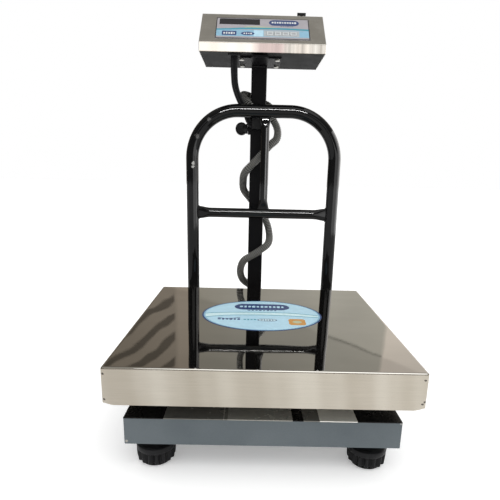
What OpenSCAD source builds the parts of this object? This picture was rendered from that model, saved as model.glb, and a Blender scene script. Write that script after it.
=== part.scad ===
// Bench platform weighing scale with a rear guard hoop, a telescopic display mast and a sloping display head.
// Millimetres, +Z up, the user stands at -Y. The origin is on the floor, under the centre of the footprint.

/* [Platform] */
// Width of the platform tray
pan_w = 400; // [390:1:410]
// Depth of the platform tray
pan_d = 400; // [390:1:410]
// Height of the tray's folded skirt
pan_skirt = 50; // [46:1:54]
// Thickness of the tray's steel sheet
pan_t = 1.5; // [1:0.5:2]
// Height of the platform above the floor
platform_h = 156; // [156:1:160]
// Width of the oval label
label_w = 200; // [180:2:220]
// Depth of the oval label
label_d = 164; // [140:2:170]

/* [Base] */
// Side of the square base frame
base_w = 362; // [360:1:364]
// Height of the base frame
base_h = 38; // [36:1:40]
// Height of the base frame's underside above the floor
base_z = 40; // [40:1:42]
// Thickness of the folded sheet of the base frame
base_t = 2; // [1.5:0.5:2.5]

/* [Feet] */
// Sideways distance of each foot from the middle
foot_x = 146; // [144:1:148]
// Fore and aft distance of each foot from the middle
foot_y = 150; // [146:1:150]
// Diameter of the fluted foot knob
knob_d = 54; // [50:1:56]
// Number of flutes around the foot knob
knob_flutes = 16; // [12:1:18]

/* [Guard] */
// Diameter of the guard tube
guard_d = 24; // [22:1:25]
// Wall of the guard tube
guard_t = 1.5; // [1.2:0.1:2]
// Distance between the centres of the guard's legs
guard_w = 278; // [270:2:286]
// Height of the middle of the guard's top bar
guard_top = 501; // [495:1:505]
// Bend radius of the guard's corners, at the tube's centre
guard_bend = 90; // [80:1:100]
// Height of the guard's crossbar
crossbar_z = 308; // [290:1:330]
// Diameter of the crossbar
crossbar_d = 19; // [16:1:20]
// Diameter of the upright strut
strut_d = 16; // [14:1:18]
// Distance of the strut from the middle, to the right
strut_x = 2; // [0:0.5:4]

/* [Column] */
// Side of the square column tube
column_w = 30; // [30:1:31]
// Wall of the column tube
column_t = 1.5; // [1.2:0.1:1.5]
// Height of the column's top end
column_top = 583; // [578:1:583]
// Side of the square mast that slides inside the column
mast_w = 24; // [23:0.5:24]
// Height of the mast's lower end when it is fully down
mast_bottom = 340; // [300:5:360]
// Height of the clamp knob's axis
clamp_z = 472; // [466:1:478]

/* [Display head] */
// Width of the display head
head_w = 225; // [220:1:230]
// Depth of the display head
head_d = 127; // [125:1:128]
// Height of the display head
head_h = 80; // [79:1:82]
// Height of the upright lip along the front of the head
head_lip = 15; // [14:1:17]
// Depth of the sloping front of the head
head_run = 70; // [68:1:72]
// Thickness of the head's sheet cover
head_t = 1.2; // [1:0.1:1.2]

/* [Cords] */
// Diameter of the corrugated conduit
conduit_d = 13.5; // [12:0.5:13.5]
// Diameter of each lead between the conduit and the head
lead_d = 6; // [5:0.5:6]
// Diameter of the lead from the load cell
cell_lead_d = 4.5; // [4:0.5:5]

/* [Hidden] */
$fn = 64;

// Heights of the stack from the floor to the platform
base_top = base_z + base_h;
deck_t = 1.2;
flange_z = base_top - deck_t - base_t;
top_flange = 48;
bottom_flange = 20;
channel_top = base_top - 4;
channel_w = 84;
channel_t = 4;
cell_z = 84;
cell_w = 40;
cell_l = 150;
cell_h = 30;
plate_z = cell_z + cell_h + 6;
plate_t = 6;
beam_z = plate_z + plate_t;
beam_h = 25;
beam_w = 40;
beam_x = pan_w / 2 - 29;
beam_l = pan_d - 30;
cross_beam_w = 32;
cross_beam_y = 95;
tube_t = 2;
buffer_r = 12;
buffer_y = 165;
deck_open_w = 84;
deck_open_l = 180;
lead_hole_y = base_w / 2 - 16;

// Fasteners
m4_r = 2;
m6_r = 3;
m8_r = 4;
slip = 0.1;
running = 0.05;

// Feet
stud_r = 6;
knob_z = 3.3;
knob_top = 28;
flute_top = 18;
hub_top = 33;
stud_top = 70;
stem_r = 5;
stem_top = 14;
FEET = [[-1, -1], [1, -1], [-1, 1], [1, 1]];

// Guard, column and head, measured from the platform's centre
guard_y = pan_d / 2 + 15;
guard_x = guard_w / 2;
leg_bottom = 44;
socket_r = 15.5;
socket_top = 98;
column_x = -12;
column_y = guard_y + 43;
column_bottom = 44;
column_edge = 3;
bracket_t = 5;
bracket_rows = [50, 62];
bracket_top = 112;
bolt_low = 60;
bolt_high = 102;
bush_flange = 3;
bush_depth = 30;
mast_t = 1.5;
bar_z = column_top + bush_flange + 0.4;
head_z = bar_z + 6.6;
head_x = -8;
head_front = pan_d / 2 - 26;
head_rise = head_h - head_lip;
head_angle = atan2(head_rise, head_run);
head_screw_x = 33;
head_screw_y = [210, 264];
socket_out = 3;
tray_t = 2;

// The platform sits forward of the origin, so that the footprint is centred on it
platform_y = (pan_d / 2 - (head_front + head_d + socket_out)) / 2;

// Front panel, in its own axes: right, up the slope, out of the slope
panel_w = 170;
panel_l = 69;
panel_s = 47;
panel_t = 0.8;
window_w = 73.6;
window_l = 19.8;
window_x = -42;
window_s = 68.5;
key_w = 11;
key_l = 10.6;
key_pitch = 14;
key_x = 13.4;
key_s = 30;
key_gap = 0.4;
key_out = 1.6;
key_in = -2;

// Inside the head, from the middle of its front edge
board_x = 52;
board_y = 46;
board_w = 88;
board_l = 60;
board_z = 10;
battery_x = [-106, -5];
battery_y = [76, 123];
battery_top = 72;
pad_h = 5;
switch_x = 74;
switch_y = 88;
pivot_z = 82;
switch_throw = 24;

// The junction block on the column's front face and the boss of the clamp screw
block_w = 24;
block_d = 15;
block_z = [470, 496];
boss_r = 11;

// Where each lead passes through the head's floor
lead_hole = [[-55, 195], [-62, 195]];

// The conduit, from the base's gland to its ferrule on the column
CONDUIT = [
    [62, 200, 60], [62, 214, 61], [61, 230, 65], [56, 246, 74], [46, 259, 87], [33, 269, 102],
    [16, 277, 118], [-3, 283, 131], [-23, 283, 143], [-38, 273, 158], [-43, 258, 178],
    [-40, 246, 197], [-32, 237, 210], [-16, 234, 220], [2, 235, 232], [14, 242, 242],
    [18, 257, 254], [15, 270, 275], [5, 281, 296], [-12, 283, 317], [-28, 282, 337],
    [-39, 272, 353], [-40, 258, 370], [-38, 246, 383], [-30, 235, 395], [-15, 234, 410],
    [-1, 234, 425], [13, 238, 441], [25, 246, 452], [28, 252, 466], [24, 254, 480],
    [17, 256, 492], [14, 264, 503], [10, 277, 517], [-4, 284, 525], [-19, 285, 532],
    [-31, 280, 536.5], [-41, 269, 537], [-43, 255, 532], [-38, 244, 523], [-29, 236, 513],
    [-20, 235, 503]
];

// The two leads, from the junction block on the column up into the head
SIGNAL_LEAD = [
    [-24, 235, 484], [-28, 235, 488], [-31, 234, 496], [-35, 232, 506], [-41, 231, 516],
    [-47, 227, 527], [-52, 221, 539], [-54.5, 213, 551], [-55, 204, 563], [-55, 198, 574],
    [-55, 195, 584], [-55, 195, 593]
];
EARTH_LEAD = [
    [-24, 235, 475], [-29, 235, 478], [-34, 234, 486], [-38, 233, 496], [-43.5, 232, 507.5],
    [-50.5, 229, 519.5], [-56.5, 223, 532.5], [-60.5, 215, 545.5], [-61.5, 206, 558], [-62, 199, 571],
    [-62, 195, 583], [-62, 195, 593]
];

// The load cell's lead, over the deck and down into the base's gland
CELL_LEAD = [
    [0, 75, 96], [0, 86, 95], [5, 100, 88], [20, 121, 82], [40, 146, 81],
    [54, 159, 81], [61, 164, 80], [62, 165, 74], [62, 166, 66], [62, 172, 60]
];

// ---------- helpers ----------

module at_platform() { translate([0, platform_y, 0]) children(); }

module block(x, y, z) {
    translate([x[0], y[0], z[0]]) cube([x[1] - x[0], y[1] - y[0], z[1] - z[0]]);
}

module centred(w, d, z) { block([-w / 2, w / 2], [-d / 2, d / 2], z); }

module rod(r, z) { translate([0, 0, z[0]]) cylinder(r = r, h = z[1] - z[0]); }

module rod_x(r, x) { translate([x[0], 0, 0]) rotate([0, 90, 0]) cylinder(r = r, h = x[1] - x[0]); }

module rod_y(r, y) { translate([0, y[0], 0]) rotate([-90, 0, 0]) cylinder(r = r, h = y[1] - y[0]); }

module hex(across, z) { translate([0, 0, z[0]]) cylinder(d = across / cos(30), h = z[1] - z[0], $fn = 6); }

module mirrored() {
    children();
    mirror([1, 0, 0]) children();
}

module at_feet() { for (f = FEET) translate([f[0] * foot_x, f[1] * foot_y, 0]) children(); }

// A square with rounded corners
module soft_square(w, r) {
    square([w - 2 * r, w], center = true);
    square([w, w - 2 * r], center = true);
    for (x = [-1, 1], y = [-1, 1]) translate([x * (w / 2 - r), y * (w / 2 - r)]) circle(r = r);
}

module square_tube(w, t, r, z) {
    translate([0, 0, z[0]]) linear_extrude(z[1] - z[0]) difference() {
        soft_square(w, r);
        soft_square(w - 2 * t, max(r - t, 0.5));
    }
}

module oval(w, d, h, points = 72) {
    linear_extrude(h) polygon([for (i = [0:points - 1]) let (a = 360 * i / points) [w / 2 * cos(a), d / 2 * sin(a)]]);
}

// A box tube with a square-edged wall, open at both ends along Y
module beam(w, l, h, t) {
    difference() {
        centred(w, l, [0, h]);
        centred(w - 2 * t, l + 1, [t, h - t]);
    }
}

function unit(v) = v / norm(v);
function tangent(p, i) = unit(p[min(i + 1, len(p) - 1)] - p[max(i - 1, 0)]);
function carried(n, t) = unit(n - (n * t) * t);
function side_of(t) = unit(cross(t, abs(t[2]) < 0.9 ? [0, 0, 1] : [1, 0, 0]));

// One tube along a route, with its end rings square to the given directions
module sweep(route, r, sides, first, last) {
    count = len(route);
    t = [for (i = [0:count - 1]) i == 0 ? unit(first) : i == count - 1 ? unit(last) : tangent(route, i)];
    n = [for (i = 0, v = side_of(t[0]); i < count; i = i + 1, v = i < count ? carried(v, t[i]) : v) v];
    rings = [for (i = [0:count - 1], k = [0:sides - 1])
        let (a = 360 * k / sides) route[i] + r * (cos(a) * n[i] + sin(a) * cross(t[i], n[i]))];
    walls = [for (i = [0:count - 2], k = [0:sides - 1])
        let (a = i * sides + k, b = i * sides + (k + 1) % sides) [a, a + sides, b + sides, b]];
    tris = [for (q = walls, h = [0, 1]) h == 0 ? [q[0], q[1], q[2]] : [q[0], q[2], q[3]]];
    start_cap = [for (k = [0:sides - 1]) k];
    end_cap = [for (k = [sides - 1:-1:0]) (count - 1) * sides + k];
    polyhedron(points = rings, faces = concat([start_cap], tris, [end_cap]));
}

// ---------- base ----------

module base_frame() color("slategray") at_platform() {
    inner = base_w - 2 * base_t;
    difference() {
        centred(base_w, base_w, [base_z, base_top - deck_t]);
        centred(inner, inner, [base_z + base_t, flange_z]);
        centred(base_w - 2 * bottom_flange, base_w - 2 * bottom_flange, [base_z - 1, base_z + base_t + 1]);
        centred(base_w - 2 * top_flange, base_w - 2 * top_flange, [flange_z - 1, base_top]);
        translate([CONDUIT[0][0], 0, CONDUIT[0][2]]) rod_y(8.1, [base_w / 2 - 5, base_w / 2 + 1]);
        bracket_bolt_axes() rod_y(m6_r + slip, [base_w / 2 - 5, base_w / 2 + 1]);
        translate([CONDUIT[0][0], lead_hole_y, 0]) rod(4, [flange_z - 1, base_top]);
    }
}

module base_deck() color("silver") at_platform() {
    difference() {
        centred(base_w, base_w, [base_top - deck_t, base_top]);
        centred(deck_open_w, deck_open_l, [base_top - deck_t - 1, base_top + 1]);
        translate([CONDUIT[0][0], lead_hole_y, 0]) rod(4, [base_top - deck_t - 1, base_top + 1]);
    }
}

module cross_channel() color("slategray") at_platform() {
    length = base_w - 2 * base_t;
    difference() {
        centred(channel_w, length, [base_z + base_t, channel_top]);
        centred(channel_w - 2 * channel_t, length + 1, [base_z + base_t - 1, channel_top - channel_t]);
        for (y = [-65, -35]) translate([0, y, 0]) rod(m6_r + slip, [channel_top - 5, channel_top + 1]);
        stop_axes() rod(m8_r + slip, [channel_top - 5, channel_top + 1]);
    }
}

module foot_nut_plates() color("slategray") at_platform() at_feet() {
    plate_z = base_z + base_t;
    difference() {
        union() {
            centred(64, 56, [plate_z, plate_z + 4]);
            hex(19, [plate_z + 4, plate_z + 14]);
        }
        rod(stud_r + running, [base_z, base_top]);
    }
}

module foot_lock_nuts() color("silver") at_platform() at_feet() {
    difference() {
        hex(19, [base_z - 4, base_z + base_t]);
        rod(stud_r + running, [base_z - 5, base_z + base_t + 1]);
    }
}

// ---------- load cell and upper frame ----------

module cell_bolt_axes(low) {
    for (y = low ? [-65, -35] : [35, 65]) translate([0, y, 0]) children();
}

module stop_axes() { for (x = [-29, 29], y = [-78, 78]) translate([x, y, 0]) children(); }

module load_cell() color("gainsboro") at_platform() {
    middle = cell_z + cell_h / 2;
    difference() {
        centred(cell_w, cell_l, [cell_z, cell_z + cell_h]);
        for (y = [-11, 11]) translate([0, y, middle]) rod_x(9, [-cell_w, cell_w]);
        block([-cell_w, cell_w], [-11, 11], [middle - 3, middle + 3]);
        cell_bolt_axes(true) rod(m6_r + slip, [cell_z - 1, cell_z + 22]);
        cell_bolt_axes(false) rod(m6_r + slip, [cell_z + 8, cell_z + cell_h + 1]);
    }
}

module load_cell_spacers() color("silver") at_platform() {
    difference() {
        block([-20, 20], [-75, -25], [channel_top, cell_z]);
        cell_bolt_axes(true) rod(m6_r + slip, [channel_top - 1, cell_z + 1]);
    }
    difference() {
        block([-20, 20], [25, 75], [cell_z + cell_h, plate_z]);
        cell_bolt_axes(false) rod(m6_r + slip, [plate_z - 7, plate_z + 1]);
    }
}

module load_cell_screws() color("dimgray") at_platform() {
    cell_bolt_axes(true) {
        rod(m6_r, [channel_top - channel_t, cell_z + 20]);
        rod(5, [channel_top - channel_t - 6, channel_top - channel_t]);
    }
    cell_bolt_axes(false) {
        rod(m6_r, [cell_z + 10, beam_z]);
        rod(5, [beam_z, beam_z + 6]);
    }
}

module overload_stops() color("silver") at_platform() stop_axes() {
    rod(m8_r, [channel_top - 14, plate_z - 1]);
    hex(13, [channel_top, channel_top + 4]);
    hex(13, [channel_top - channel_t - 6, channel_top - channel_t]);
}

module upper_frame() color("#17181a") at_platform() {
    difference() {
        centred(96, 2 * cross_beam_y + cross_beam_w, [plate_z, beam_z]);
        cell_bolt_axes(false) rod(m6_r + slip, [plate_z - 1, beam_z + 1]);
    }
    mirrored() translate([beam_x, 0, beam_z]) beam(beam_w, beam_l, beam_h, tube_t);
    for (y = [-1, 1]) translate([0, y * cross_beam_y, beam_z]) rotate([0, 0, 90])
        beam(cross_beam_w, 2 * beam_x - beam_w, beam_h, tube_t);
}

module pan_buffers() color("#202022") at_platform() {
    for (x = [-1, 1], y = [-1, 1]) translate([x * beam_x, y * buffer_y, 0])
        rod(buffer_r, [beam_z + beam_h, platform_h - pan_t]);
}

module cell_lead() color("#202022") at_platform()
    sweep(CELL_LEAD, cell_lead_d / 2, 8, [0, 1, 0], [0, 1, -0.3]);

// ---------- platform ----------

module pan() color("lightgray") at_platform() {
    difference() {
        centred(pan_w, pan_d, [platform_h - pan_skirt, platform_h]);
        centred(pan_w - 2 * pan_t, pan_d - 2 * pan_t, [platform_h - pan_skirt - 1, platform_h - pan_t]);
    }
}

module pan_label() color("lightskyblue") at_platform()
    translate([0, 23, platform_h]) oval(label_w, label_d, 0.3);

// ---------- guard ----------

module bracket_bolt_axes() {
    for (x = [-guard_x, guard_x], k = [-1, 1]) translate([x + k * 21, 0, 58]) children();
    for (x = [-40, 40], z = bracket_rows) translate([column_x + x, 0, z]) children();
}

module guard_sockets() color("#17181a") at_platform() {
    for (x = [-guard_x, guard_x]) translate([x, 0, 0]) difference() {
        union() {
            block([-29, 29], [base_w / 2, base_w / 2 + 4], [42, 74]);
            block([-9, 9], [base_w / 2, guard_y], [42, 74]);
            translate([0, guard_y, 0]) rod(socket_r, [42, socket_top]);
        }
        translate([0, guard_y, 0]) rod(guard_d / 2 + slip, [leg_bottom, socket_top + 1]);
        for (k = [-21, 21]) translate([k, 0, 58]) rod_y(m6_r + slip, [base_w / 2 - 1, base_w / 2 + 5]);
        translate([0, 0, 84]) rod_y(m6_r + slip, [guard_y, guard_y + socket_r + 1]);
    }
}

module bracket_bolts() color("silver") at_platform() {
    face = base_w / 2 + 4;
    bracket_bolt_axes() {
        rod_y(m6_r, [base_w / 2 - base_t - 7, face + 4]);
        translate([0, face, 0]) rotate([-90, 0, 0]) hex(10, [0, 4]);
        translate([0, base_w / 2 - base_t - 5, 0]) rotate([-90, 0, 0]) hex(10, [0, 5]);
    }
    for (x = [-guard_x, guard_x]) translate([x, 0, 84]) {
        rod_y(m6_r, [guard_y + guard_d / 2 + 0.1, guard_y + socket_r + 6]);
        translate([0, guard_y + socket_r + 2, 0]) rotate([-90, 0, 0]) hex(10, [0, 4]);
    }
}

module guard_ring() {
    difference() {
        circle(d = guard_d);
        circle(d = guard_d - 2 * guard_t);
    }
}

module guard_hoop() color("#121314") at_platform() translate([0, guard_y, 0]) {
    bend_z = guard_top - guard_bend;
    flat = guard_x - guard_bend;
    mirrored() {
        translate([guard_x, 0, leg_bottom]) linear_extrude(bend_z - leg_bottom) guard_ring();
        translate([flat, 0, bend_z]) rotate([90, 0, 0])
            rotate_extrude(angle = 90) translate([guard_bend, 0]) guard_ring();
    }
    translate([-flat, 0, guard_top]) rotate([0, 90, 0]) linear_extrude(2 * flat) guard_ring();
}

// A round bar along X whose ends are pressed flat and cut to sit against a round tube
module pressed_bar(length, d, tube_r) {
    r = d / 2;
    flat_h = d + 6;
    difference() {
        union() {
            rod_x(r, [-length / 2, length / 2]);
            for (k = [-1, 1]) translate([k * (length / 2 - 9), 0, 0]) {
                block([-9, 9], [-r * 0.55, r * 0.55], [-flat_h / 2, flat_h / 2]);
                translate([-k * 9, 0, 0]) rod_y(flat_h / 2, [-r * 0.55, r * 0.55]);
            }
        }
        for (k = [-1, 1]) translate([k * (length / 2 + tube_r - 1), 0, 0]) rod(tube_r, [-flat_h, flat_h]);
    }
}

module guard_crossbar() color("#121314") at_platform()
    translate([0, guard_y, crossbar_z]) pressed_bar(2 * guard_x - guard_d + 2, crossbar_d, guard_d / 2);

module guard_strut() color("#121314") at_platform() {
    low = crossbar_z + crossbar_d / 2;
    high = guard_top - guard_d / 2;
    r = strut_d / 2;
    translate([strut_x, guard_y, 0]) {
        rod(r, [low, high]);
        block([-r - 3, r + 3], [-r * 0.5, r * 0.5], [high - 14, high]);
        block([-r - 3, r + 3], [-r * 0.5, r * 0.5], [low, low + 12]);
    }
}

// ---------- column ----------

module at_column() { translate([column_x, column_y, 0]) children(); }

module column_bracket() color("#17181a") at_platform() {
    web_in = column_w / 2 + 0.3;
    back = column_y + column_w / 2 + 3;
    difference() {
        union() {
            block([column_x - 50, column_x + 50], [base_w / 2, base_w / 2 + 4], [42, 74]);
            for (x = [-web_in - bracket_t, web_in]) translate([column_x + x, 0, 0])
                rotate([90, 0, 90]) linear_extrude(bracket_t) polygon([
                    [base_w / 2, 42], [back, 42], [back, bracket_top],
                    [column_y - column_w / 2, bracket_top], [base_w / 2, 74]
                ]);
            block([column_x - web_in - bracket_t, column_x + web_in + bracket_t], [base_w / 2, back], [42, 44]);
        }
        for (x = [-40, 40], z = bracket_rows) translate([column_x + x, 0, z])
            rod_y(m6_r + slip, [base_w / 2 - 1, base_w / 2 + 5]);
        for (z = [bolt_low, bolt_high]) translate([column_x, column_y, z]) rod_x(m8_r + slip, [-30, 30]);
    }
}

// Screws that hold the junction block to the column's front face, from that face
module block_screw_axes() {
    for (x = [-8.5, 8.5]) translate([x, -column_w / 2, block_z[0] + 5]) children();
}

module column_bolts() color("silver") at_platform() {
    web_out = column_w / 2 + 0.3 + bracket_t;
    for (z = [bolt_low, bolt_high]) translate([column_x, column_y, z]) {
        rod_x(m8_r, [-web_out - 5, web_out + 9]);
        translate([-web_out - 5.5, 0, 0]) rotate([0, 90, 0]) hex(13, [0, 5.5]);
        translate([web_out, 0, 0]) rotate([0, 90, 0]) hex(13, [0, 6.5]);
    }
    at_column() block_screw_axes() {
        rod_y(m4_r - slip, [-block_d, 3]);
        rod_y(3.4, [-block_d - 2, -block_d]);
    }
}

module column() color("#17181a") at_platform() at_column() {
    difference() {
        union() {
            square_tube(column_w, column_t, column_edge, [column_bottom, column_top]);
            translate([-column_w / 2, 0, clamp_z]) rod_x(boss_r, [-5, 0.5]);
        }
        translate([0, 0, clamp_z]) rod_x(m8_r + running, [-column_w, -mast_w / 2]);
        for (z = [bolt_low, bolt_high]) translate([0, 0, z]) rod_x(m8_r + slip, [-column_w, column_w]);
        block_screw_axes() rod_y(m4_r, [-3, 3]);
    }
}

module mast_bush() color("#202022") at_platform() at_column() {
    fit = column_w - 2 * column_t - 0.2;
    difference() {
        union() {
            translate([0, 0, column_top - bush_depth]) linear_extrude(bush_depth) soft_square(fit, 1.5);
            translate([0, 0, column_top]) linear_extrude(bush_flange) soft_square(column_w, column_edge);
        }
        translate([0, 0, column_top - bush_depth - 1]) linear_extrude(bush_depth + 6) soft_square(mast_w + 0.7, 2);
    }
}

module conduit_gland() color("#202022") at_platform() translate([CONDUIT[0][0], 0, CONDUIT[0][2]]) {
    wall = base_w / 2;
    difference() {
        union() {
            rod_y(8, [wall - 9, wall + 3]);
            translate([0, wall, 0]) rotate([-90, 0, 0]) hex(22, [0, 6]);
            translate([0, wall - base_t - 5, 0]) rotate([-90, 0, 0]) hex(20, [0, 5]);
            rod_y(9.5, [wall + 6, CONDUIT[0][1]]);
        }
        rod_y(3, [wall - 10, CONDUIT[0][1] - 3]);
    }
}

module conduit() color("dimgray") at_platform()
    sweep(CONDUIT, conduit_d / 2, 10, [0, 1, 0], [0.6, 0, -0.8]);

module conduit_ferrule() color("#202022") at_platform() {
    front = column_y - column_w / 2;
    difference() {
        union() {
            translate(CONDUIT[len(CONDUIT) - 1]) rotate([0, atan2(0.6, -0.8), 0]) rod(7.5, [0, 20]);
            translate([column_x, 0, 0]) block([-block_w / 2, block_w / 2], [front - block_d, front], block_z);
        }
        at_column() block_screw_axes() rod_y(m4_r, [-block_d - 1, 1]);
    }
}

// ---------- display head ----------

module at_head() { translate([head_x, head_front, head_z]) children(); }

// Right, up the slope and out of the slope, from the middle of the slope's lower edge
module on_slope(x, s, out = 0) {
    translate([0, 0, head_lip]) rotate([head_angle, 0, 0]) translate([x, s, out]) children();
}

module mast() color("#17181a") at_platform() at_column()
    square_tube(mast_w, mast_t, 2, [mast_bottom, bar_z]);

module head_screw_axes() {
    for (x = [-head_screw_x, head_screw_x], y = head_screw_y) translate([column_x + x, y, 0]) children();
}

module head_bracket() color("#17181a") at_platform() {
    block([column_x - column_w / 2, column_x + column_w / 2], [head_front + 4, 290], [bar_z, head_z - 3]);
    difference() {
        block([column_x - 40, column_x + 40], [203, 276], [head_z - 3, head_z]);
        head_screw_axes() rod(2.6, [head_z - 4, head_z + 1]);
    }
}

module head_screws() color("silver") at_platform() head_screw_axes() {
    rod(2.5, [head_z - 3, head_z + tray_t + 4.5]);
    rod(4.5, [head_z - 5.6, head_z - 3]);
    hex(8, [head_z + tray_t, head_z + tray_t + 4]);
}

module head_base() color("#202022") at_platform() {
    inner = head_w / 2 - head_t - 0.2;
    difference() {
        union() {
            at_head() block([-inner, inner], [head_t + 0.2, head_d - head_t - 0.2], [0, tray_t]);
            at_head() for (x = [-1, 1], y = [24, 100])
                block([min(x * inner, x * (inner - 3)), max(x * inner, x * (inner - 3))], [y - 8, y + 8], [0, 16]);
        }
        head_screw_axes() rod(2.6, [head_z - 1, head_z + 3]);
        translate([(lead_hole[0][0] + lead_hole[1][0]) / 2, 195, 0]) centred(18, 11, [head_z - 1, head_z + 3]);
        cover_screw_axes() rod(m4_r, [-4.5, 3]);
    }
}

// Each axis points out through a side of the head, from the cover's outer face
module cover_screw_axes() {
    at_head() for (x = [-1, 1], y = [24, 100])
        translate([x * head_w / 2, y, 10]) rotate([0, x * 90, 0]) children();
}

module head_profile(inset, drop) {
    h = head_h - inset;
    shift = inset * tan(head_angle / 2);
    polygon([
        [inset, -drop], [inset, head_lip - shift], [head_run + shift, h],
        [head_d - inset, h], [head_d - inset, -drop]
    ]);
}

module head_cover() color("lightgray") at_platform() {
    difference() {
        at_head() translate([-head_w / 2, 0, 0]) rotate([90, 0, 90]) linear_extrude(head_w) head_profile(0, 0);
        at_head() translate([head_t - head_w / 2, 0, 0]) rotate([90, 0, 90])
            linear_extrude(head_w - 2 * head_t) head_profile(head_t, 1);
        at_head() on_slope(window_x, window_s) centred(window_w + 0.4, window_l + 0.4, [-4, 2]);
        at_head() key_places() centred(key_w + 2 * key_gap, key_l + 2 * key_gap, [-4, 2]);
        cover_screw_axes() rod(m4_r + slip, [-2, 1]);
        at_head() translate([70, 0, 28]) rod_y(6.1, [head_d - 3, head_d + 1]);
        at_head() translate([switch_x, switch_y, 0]) rod(5.1, [head_h - 3, head_h + 1]);
    }
}

module cover_screws() color("silver") at_platform() cover_screw_axes() {
    rod(m4_r - slip, [-4, 0.2]);
    intersection() {
        translate([0, 0, -4]) sphere(r = 6);
        rod(4, [0, 3]);
    }
}

module key_places() {
    for (i = [0:3]) on_slope(key_x + i * key_pitch, key_s) children();
}

module membrane_panel() color("lightgray") at_platform() at_head() {
    difference() {
        on_slope(0, panel_s) centred(panel_w, panel_l, [0, panel_t]);
        on_slope(window_x, window_s) centred(window_w + 0.4, window_l + 0.4, [-1, 2]);
        key_places() centred(key_w + 2 * key_gap, key_l + 2 * key_gap, [-1, 2]);
    }
}

module display_window() color("#181a20") at_platform() at_head()
    on_slope(window_x, window_s) centred(window_w, window_l, [-head_t, 0.6]);

module display_module() at_platform() at_head() on_slope(window_x, window_s) {
    color("darkgreen") centred(80, 26, [-11, -9.4]);
    color("#2a1414") for (i = [-2.5:1:2.5]) translate([i * 12.2, 0, 0]) centred(11.6, 16, [-9.4, -1.6]);
}

module key_board() color("darkgreen") at_platform() at_head() {
    on_slope(key_x + 1.5 * key_pitch, key_s) centred(62, 18, [-7, -5.4]);
    key_places() centred(6, 6, [-5.4, key_in - 0.7]);
}

module key_cap(i) color("gainsboro") at_platform() at_head()
    on_slope(key_x + i * key_pitch, key_s) centred(key_w, key_l, [key_in, key_out]);

module key_zero() key_cap(0);
module key_tare() key_cap(1);
module key_unit() key_cap(2);
module key_hold() key_cap(3);

module board_corners() {
    for (x = [-1, 1], y = [-1, 1])
        translate([board_x + x * (board_w / 2 - 5), board_y + y * (board_l / 2 - 5), 0]) children();
}

module main_board() at_platform() at_head() {
    translate([board_x, board_y, 0]) {
        color("darkgreen") difference() {
            centred(board_w, board_l, [board_z, board_z + 1.6]);
            for (x = [-1, 1], y = [-1, 1]) translate([x * (board_w / 2 - 5), y * (board_l / 2 - 5), 0])
                rod(1.7, [board_z - 1, board_z + 3]);
        }
        color("#202022") translate([-8, 6, 0]) centred(16, 16, [board_z + 1.6, board_z + 4]);
        color("#202022") translate([-28, -8, 0]) centred(10, 20, [board_z + 1.6, board_z + 4.6]);
        color("#202022") for (x = [18, 32]) translate([x, 12, 0]) rod(5, [board_z + 1.6, board_z + 14]);
        color("white") translate([20, -18, 0]) centred(30, 7, [board_z + 1.6, board_z + 9]);
    }
}

module board_standoffs() color("gold") at_platform() at_head() {
    board_corners() {
        rod(3, [tray_t, board_z]);
        rod(1.5, [board_z, board_z + 4]);
    }
    for (x = [-37.5, 37.5], s = [-10.6, 10.6]) on_slope(window_x + x, window_s + s) rod(2.2, [-9.4, -head_t]);
    for (x = [-29, 29]) on_slope(key_x + 1.5 * key_pitch + x, key_s) rod(1.8, [-5.4, -head_t]);
}

module battery() color("#303438") at_platform() at_head() {
    block(battery_x, battery_y, [tray_t + pad_h, battery_top]);
    for (y = [90, 110]) translate([-16, y, 0]) centred(6, 1, [battery_top, battery_top + 4]);
}

// Foam strips that hold the battery clear of the nuts under it
module battery_pads() color("#303030") at_platform() at_head() {
    for (x = [battery_x[0], battery_x[1] - 20]) block([x, x + 20], battery_y, [tray_t, tray_t + pad_h]);
}

module battery_strap() color("silver") at_platform() at_head() translate([-62, 0, 0]) {
    difference() {
        block([-8, 8], [battery_y[0] - 1.2, battery_y[1] + 1.2], [tray_t, battery_top + 1.2]);
        block([-9, 9], [battery_y[0], battery_y[1]], [tray_t - 1, battery_top]);
    }
    block([-8, 8], [battery_y[0] - 11, battery_y[0] - 1.2], [tray_t, tray_t + 1.2]);
}

module charger_socket() color("#202022") at_platform() at_head() translate([70, 0, 28]) {
    difference() {
        union() {
            rod_y(6, [head_d - 18, head_d + 1]);
            rod_y(8, [head_d, head_d + socket_out]);
            translate([0, head_d - head_t - 4, 0]) rotate([-90, 0, 0]) hex(14, [0, 4]);
        }
        rod_y(2.8, [head_d - 10, head_d + socket_out + 1]);
    }
}

module switch_body() color("#202022") at_platform() at_head() translate([switch_x, switch_y, 0]) {
    difference() {
        union() {
            block([-7, 7], [-10, 10], [head_h - 22, head_h - head_t]);
            rod(5, [head_h - head_t, head_h + 3.5]);
        }
        rod(3.4, [pivot_z - 6, head_h + 6]);
    }
    translate([0, 0, head_h]) difference() {
        hex(14, [0, 2]);
        rod(5, [-1, 3]);
    }
}

module switch_lever() color("#2a2b2e") at_platform() at_head()
    translate([switch_x, switch_y, pivot_z]) rotate([switch_throw / 2, 0, 0]) {
        sphere(r = 2.8);
        rod_x(1, [-3.2, 3.2]);
        rod(1.8, [0, 5]);
        centred(16, 5, [3.5, 8.5]);
    }

module cable_grommet() color("#202022") at_platform() {
    middle = (lead_hole[0][0] + lead_hole[1][0]) / 2;
    difference() {
        translate([middle, 195, 0]) union() {
            centred(17.6, 10.6, [head_z, head_z + 3]);
            centred(22, 15, [head_z - 2.4, head_z]);
        }
        for (p = lead_hole) translate([p[0], p[1], 0]) rod(lead_d / 2 + slip, [head_z - 3, head_z + 4]);
    }
}

module signal_lead() color("#202022") at_platform()
    sweep(SIGNAL_LEAD, lead_d / 2, 8, [-1, 0, 0], [0, 0, 1]);

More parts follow.
